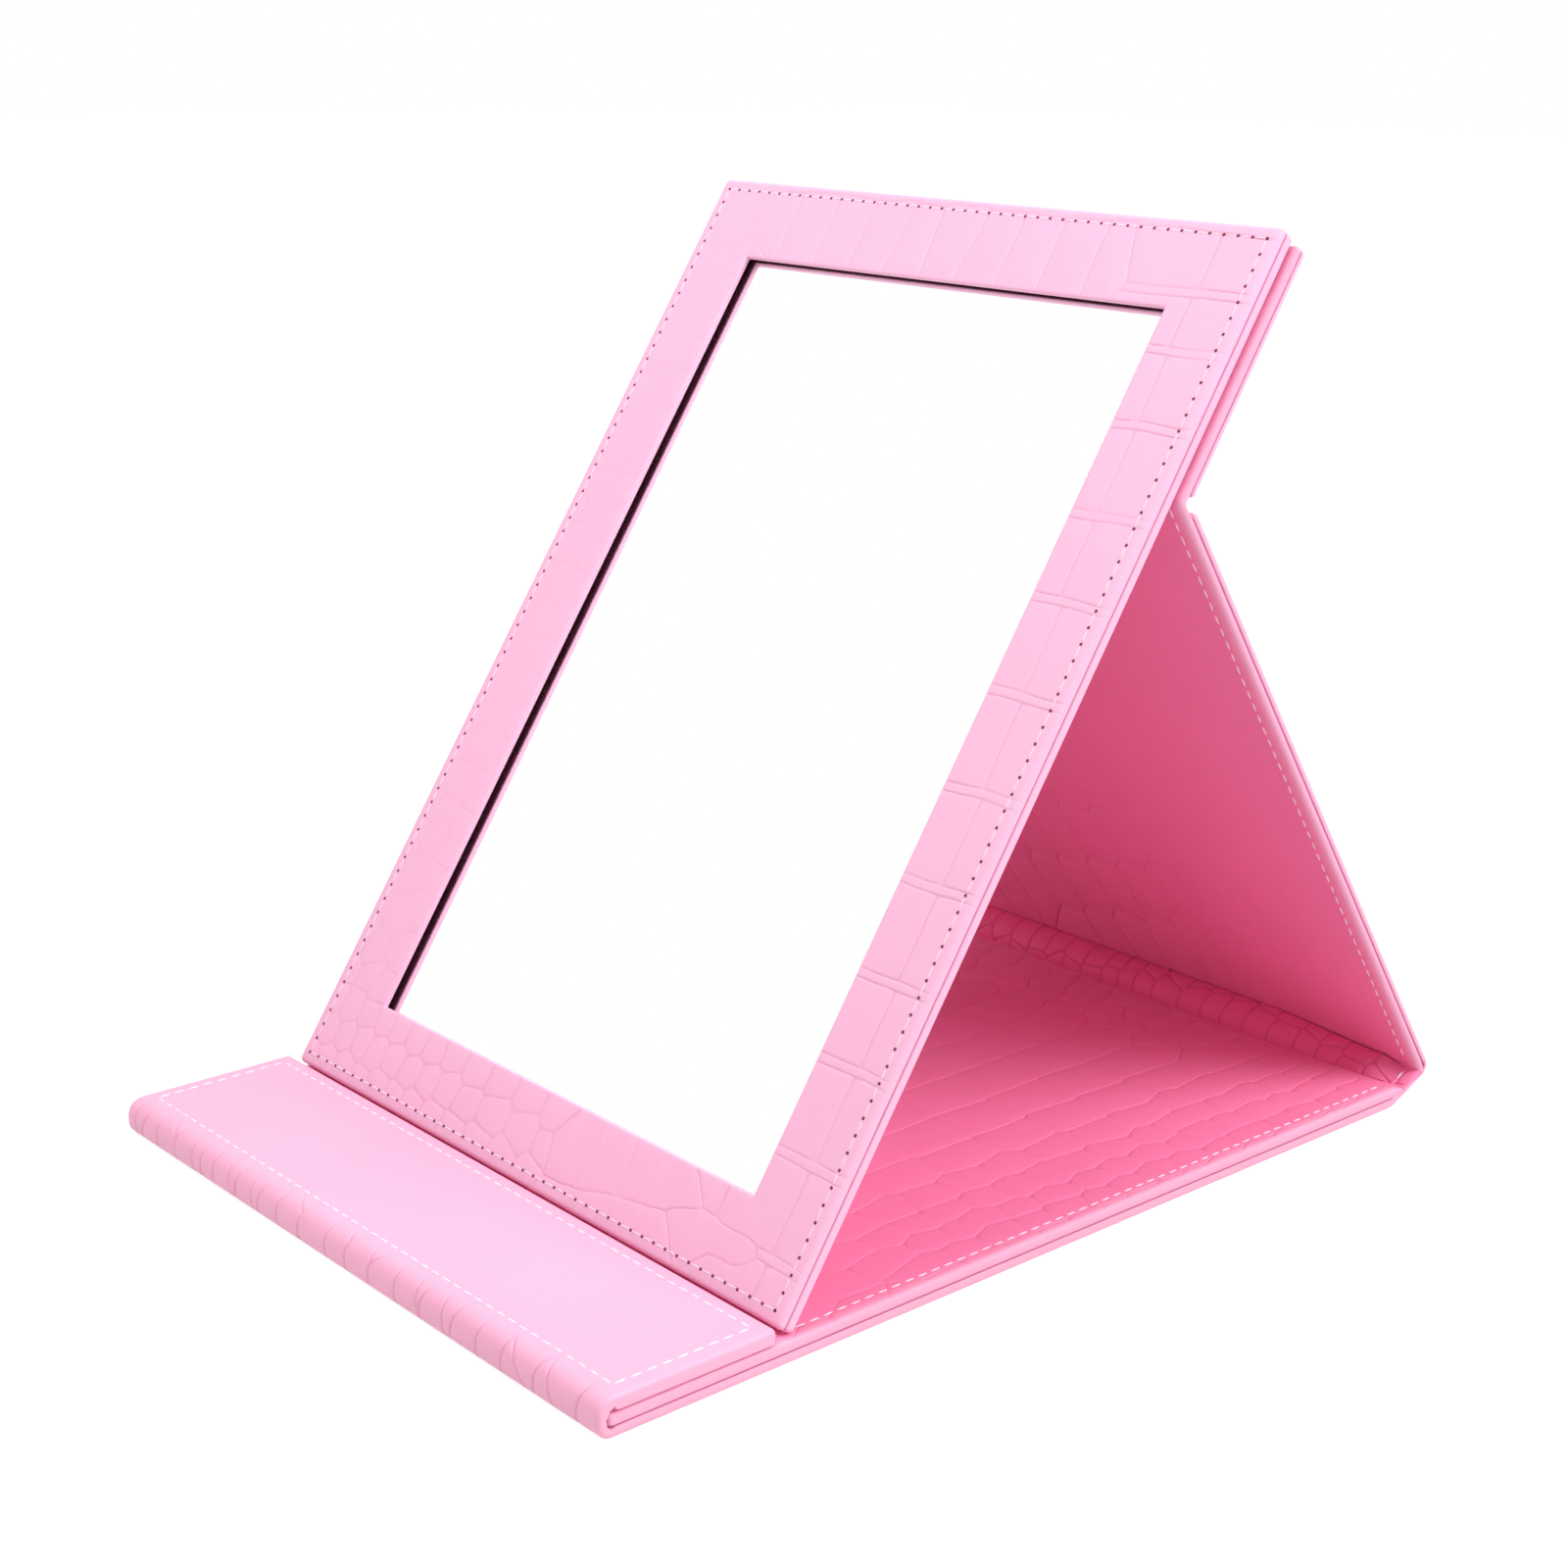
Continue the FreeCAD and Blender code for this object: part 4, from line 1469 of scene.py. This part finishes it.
class FOLIO_OT_stitching(bpy.types.Operator):
    """Sew the rows of stitches on every panel"""

    bl_idname = "folio.stitching"
    bl_label = "Stitching"

    def execute(self, context):
        sizes = context.scene.folio_sizes
        stitches = stitch_tree()
        every_side = ("left", "right", "low", "high")
        folio_inset = 0.6 * MM  # how far inside the CAD part's rings the folio's rows are sewn
        white = ("white_thread", sizes.stitch, sizes.thread)
        pale = ("pale_thread", sizes.frame_stitch, sizes.frame_thread)

        def sew_stitches(name, body, look, rows, normal, *nodes):
            kind, length, thread = look
            values = {"stitch_length": length, "thread": thread, "finish": finish(kind)}
            body_piece(sew(name, rows, normal, stitches, **values), body, kind, *nodes)

        def row(name, body, look, slope, ring, top, face=None, sides=every_side, inset=0.0, longer=0.0):
            """Sews along a CAD thread ring, on its top or underside in its place, or on another CAD face."""
            rows = panel_rows(slope, ring, sides, span(slope, face or ring)[top].z, inset)
            further = Vector((0, *on_slope(slope, longer, 0)))
            rows = [(low, high + further) for low, high in rows]
            nodes = () if face else (ring,)
            sew_stitches(name, body, look, rows, face_normal(slope, 1 if top else -1), *nodes)
            return rows

        rows = row("mirror_stitches", "mirror_head", pale, mirror_slope, "mirror_thread", True)
        holes = {"hole_radius": sizes.hole, "finish": finish("needle_hole")}
        piece = sew("mirror_needle_holes", rows, face_normal(mirror_slope), hole_tree(), 0.04 * MM, **holes)
        body_piece(piece, "mirror_head", "pale_thread")
        row("mirror_back_stitches", "mirror_head", pale, mirror_slope, "mirror_thread", False, "mirror_back_cover")
        row("upper_stitches", "mirror_head", white, mirror_slope, "upper_thread", False)
        sides = {"sides": ("left", "right"), "inset": folio_inset, "longer": 8 * MM}
        row("leg_stitches", "leg", white, leg_slope, "leg_thread", True, **sides)
        row("leg_outer_stitches", "leg", white, leg_slope, "leg_thread", False, "leg_outer_cover", inset=folio_inset)
        sides = {"sides": ("left", "right", "low"), "inset": folio_inset}
        row("base_stitches", "base", white, 0.0, "base_thread", True, **sides)
        row("flap_stitches", "flap", white, 0.0, "flap_thread", True, inset=0.8 * MM)
        line = inner_line()[0]
        x = span(0.0, "base_thread")[1].x - CAD_THREAD - folio_inset
        ends = [line.at(line.mark["mid_spine"] + reach * MM)[0] for reach in (-4, 4)]
        rows = [tuple(Vector((side * x, p.x, p.y)) for p in ends) for side in (-1, 1)]
        sew_stitches("spine_stitches", "rear_spine", white, rows, face_normal(spine_slope))
        return {"FINISHED"}


class FOLIO_OT_cores(bpy.types.Operator):
    """Finish the boards, tapes, magnets and glass that keep their own shape"""

    bl_idname = "folio.cores"
    bl_label = "Boards and glass"

    def execute(self, context):
        finishes = {
            "grey_board": (
                "base_board",
                "base_liner_board",
                "rear_spine_board",
                "leg_board",
                "leg_liner_board",
                "upper_board",
                "upper_liner_board",
                "mirror_back_board",
                "flap_board",
            ),
            # painted shade: dark plum boards for the shade in the window's gap
            "plum_board": (
                "frame_board_bottom",
                "frame_board_top",
                "frame_board_left",
                "frame_board_right",
                "glass_surround",
            ),
            "paper_tape": ("mount_tape", "glass_tape"),
            "plated_steel": ("closure_keepers", "flap_magnets"),
            "silvered_glass": ("mirror_glass",),
        }
        for name, nodes in finishes.items():
            for node in nodes:
                slots = frame["nodes"][node].data.materials
                slots.clear()
                slots.append(finish(name))
        return {"FINISHED"}


class FOLIO_OT_stage(bpy.types.Operator):
    """Set the pale floor, the soft light and the camera"""

    bl_idname = "folio.stage"
    bl_label = "Stage"

    def execute(self, context):
        scene = context.scene
        settings = scene.folio_stage
        scene.view_settings.view_transform = "Standard"
        mesh = bpy.data.meshes.new("floor")
        reach = 6.0
        corners = [(-reach, -reach, 0), (reach, -reach, 0), (reach, reach, 0), (-reach, reach, 0)]
        mesh.from_pydata(corners, [], [(0, 1, 2, 3)])
        floor = bpy.data.objects.new("floor", mesh)
        floor.location.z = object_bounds()[0].z - 0.02 * MM
        scene.collection.objects.link(floor)
        mesh.materials.append(self.floor_paint())
        floor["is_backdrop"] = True
        self.sky(scene, settings)
        self.lamp("key", (-0.1, -0.3, 0.7), 0.5, settings.key)
        self.lamp("fill", (0.95, 0.45, 1.05), 0.9, settings.fill)
        self.camera(scene, settings)
        return {"FINISHED"}

    def seen(self, tree):
        """1 for what the camera, a reflection or a glass sees, and 0 for light that falls on the object."""
        path = add_node(tree, "ShaderNodeLightPath").outputs
        first = math_of(tree, "MAXIMUM", path["Is Camera Ray"], path["Is Glossy Ray"])
        return math_of(tree, "MAXIMUM", first, path["Is Transmission Ray"])

    def floor_paint(self):
        """Matt white card that keeps a soft shadow."""
        material, tree = new_material("white_card")
        bounce = add_node(tree, "ShaderNodeBsdfDiffuse", {"Color": linear("#E8E6E6")})
        shadow = add_node(tree, "ShaderNodeBsdfDiffuse", {"Color": linear("#9C9A9A")})
        glow = add_node(tree, "ShaderNodeEmission", {"Color": (1, 1, 1, 1), "Strength": 0.9})
        card = add_node(tree, "ShaderNodeAddShader", {0: shadow.outputs[0], 1: glow.outputs[0]})
        mixed = add_node(tree, "ShaderNodeMixShader", {0: self.seen(tree), 1: bounce.outputs[0], 2: card.outputs[0]})
        add_node(tree, "ShaderNodeOutputMaterial", {"Surface": mixed.outputs[0]})
        return material

    def sky(self, scene, settings):
        """Even light from all round, seen as white."""
        world = bpy.data.worlds.new("studio")
        world.use_nodes = True
        tree = world.node_tree
        tree.nodes.clear()
        light = add_node(tree, "ShaderNodeBackground", {"Color": (1, 1, 1, 1), "Strength": settings.sky})
        white = add_node(tree, "ShaderNodeBackground", {"Color": (1, 1, 1, 1), "Strength": 1.0})
        mixed = add_node(tree, "ShaderNodeMixShader", {0: self.seen(tree), 1: light.outputs[0], 2: white.outputs[0]})
        add_node(tree, "ShaderNodeOutputWorld", {"Surface": mixed.outputs[0]})
        scene.world = world

    def lamp(self, name, place, size, power):
        """A square soft box that faces the object."""
        light = bpy.data.lights.new(name, "AREA")
        light.size = size
        light.energy = power
        lamp = bpy.data.objects.new(name, light)
        lamp.location = place
        lamp.rotation_mode = "QUATERNION"
        lamp.rotation_quaternion = (Vector((0, 0, 0.1)) - Vector(place)).to_track_quat("-Z", "Y")
        bpy.context.scene.collection.objects.link(lamp)

    def camera(self, scene, settings):
        """The camera at the picture's viewing angle."""
        a, e, r = settings.camera_azimuth, settings.camera_elevation, settings.camera_roll
        ahead = Vector((-math.sin(a) * math.cos(e), math.cos(a) * math.cos(e), -math.sin(e)))
        right = Vector((math.cos(a), math.sin(a), 0))
        down = ahead.cross(right)
        right, down = right * math.cos(r) + down * math.sin(r), down * math.cos(r) - right * math.sin(r)
        data = bpy.data.cameras.new("camera")
        data.lens = settings.lens
        data.sensor_width = 36
        data.clip_start = 0.01
        camera = bpy.data.objects.new("camera", data)
        turn = Matrix((right, -down, -ahead)).transposed().to_4x4()
        camera.matrix_world = Matrix.Translation(Vector(settings.camera_place)) @ turn
        scene.collection.objects.link(camera)
        scene.camera = camera


class FOLIO_PT_panel(bpy.types.Panel):
    """Lists the steps that dress the mirror"""

    bl_label = "Makeup mirror"
    bl_idname = "FOLIO_PT_panel"
    bl_space_type = "VIEW_3D"
    bl_region_type = "UI"
    bl_category = "Makeup mirror"

    def draw(self, context):
        for step in STEPS:
            self.layout.operator(step.bl_idname)


STEPS = (
    FOLIO_OT_outer_leather,
    FOLIO_OT_lining,
    FOLIO_OT_mirror_leather,
    FOLIO_OT_stitching,
    FOLIO_OT_cores,
    FOLIO_OT_stage,
)
GROUPS = (
    ("folio_sizes", LeatherSizes),
    ("folio_colours", FinishColours),
    ("folio_stage", StageSettings),
)


def register():
    for name, group in GROUPS:
        bpy.utils.register_class(group)
        setattr(bpy.types.Scene, name, bpy.props.PointerProperty(type=group))
    for step in STEPS:
        bpy.utils.register_class(step)
    bpy.utils.register_class(FOLIO_PT_panel)


def unregister():
    bpy.utils.unregister_class(FOLIO_PT_panel)
    for step in reversed(STEPS):
        bpy.utils.unregister_class(step)
    for name, group in reversed(GROUPS):
        delattr(bpy.types.Scene, name)
        bpy.utils.unregister_class(group)


def main():
    register()
    bpy.ops.folio.outer_leather()
    bpy.ops.folio.lining()
    bpy.ops.folio.mirror_leather()
    bpy.ops.folio.stitching()
    bpy.ops.folio.cores()
    bpy.ops.folio.stage()


if __name__ == "__main__":
    main()
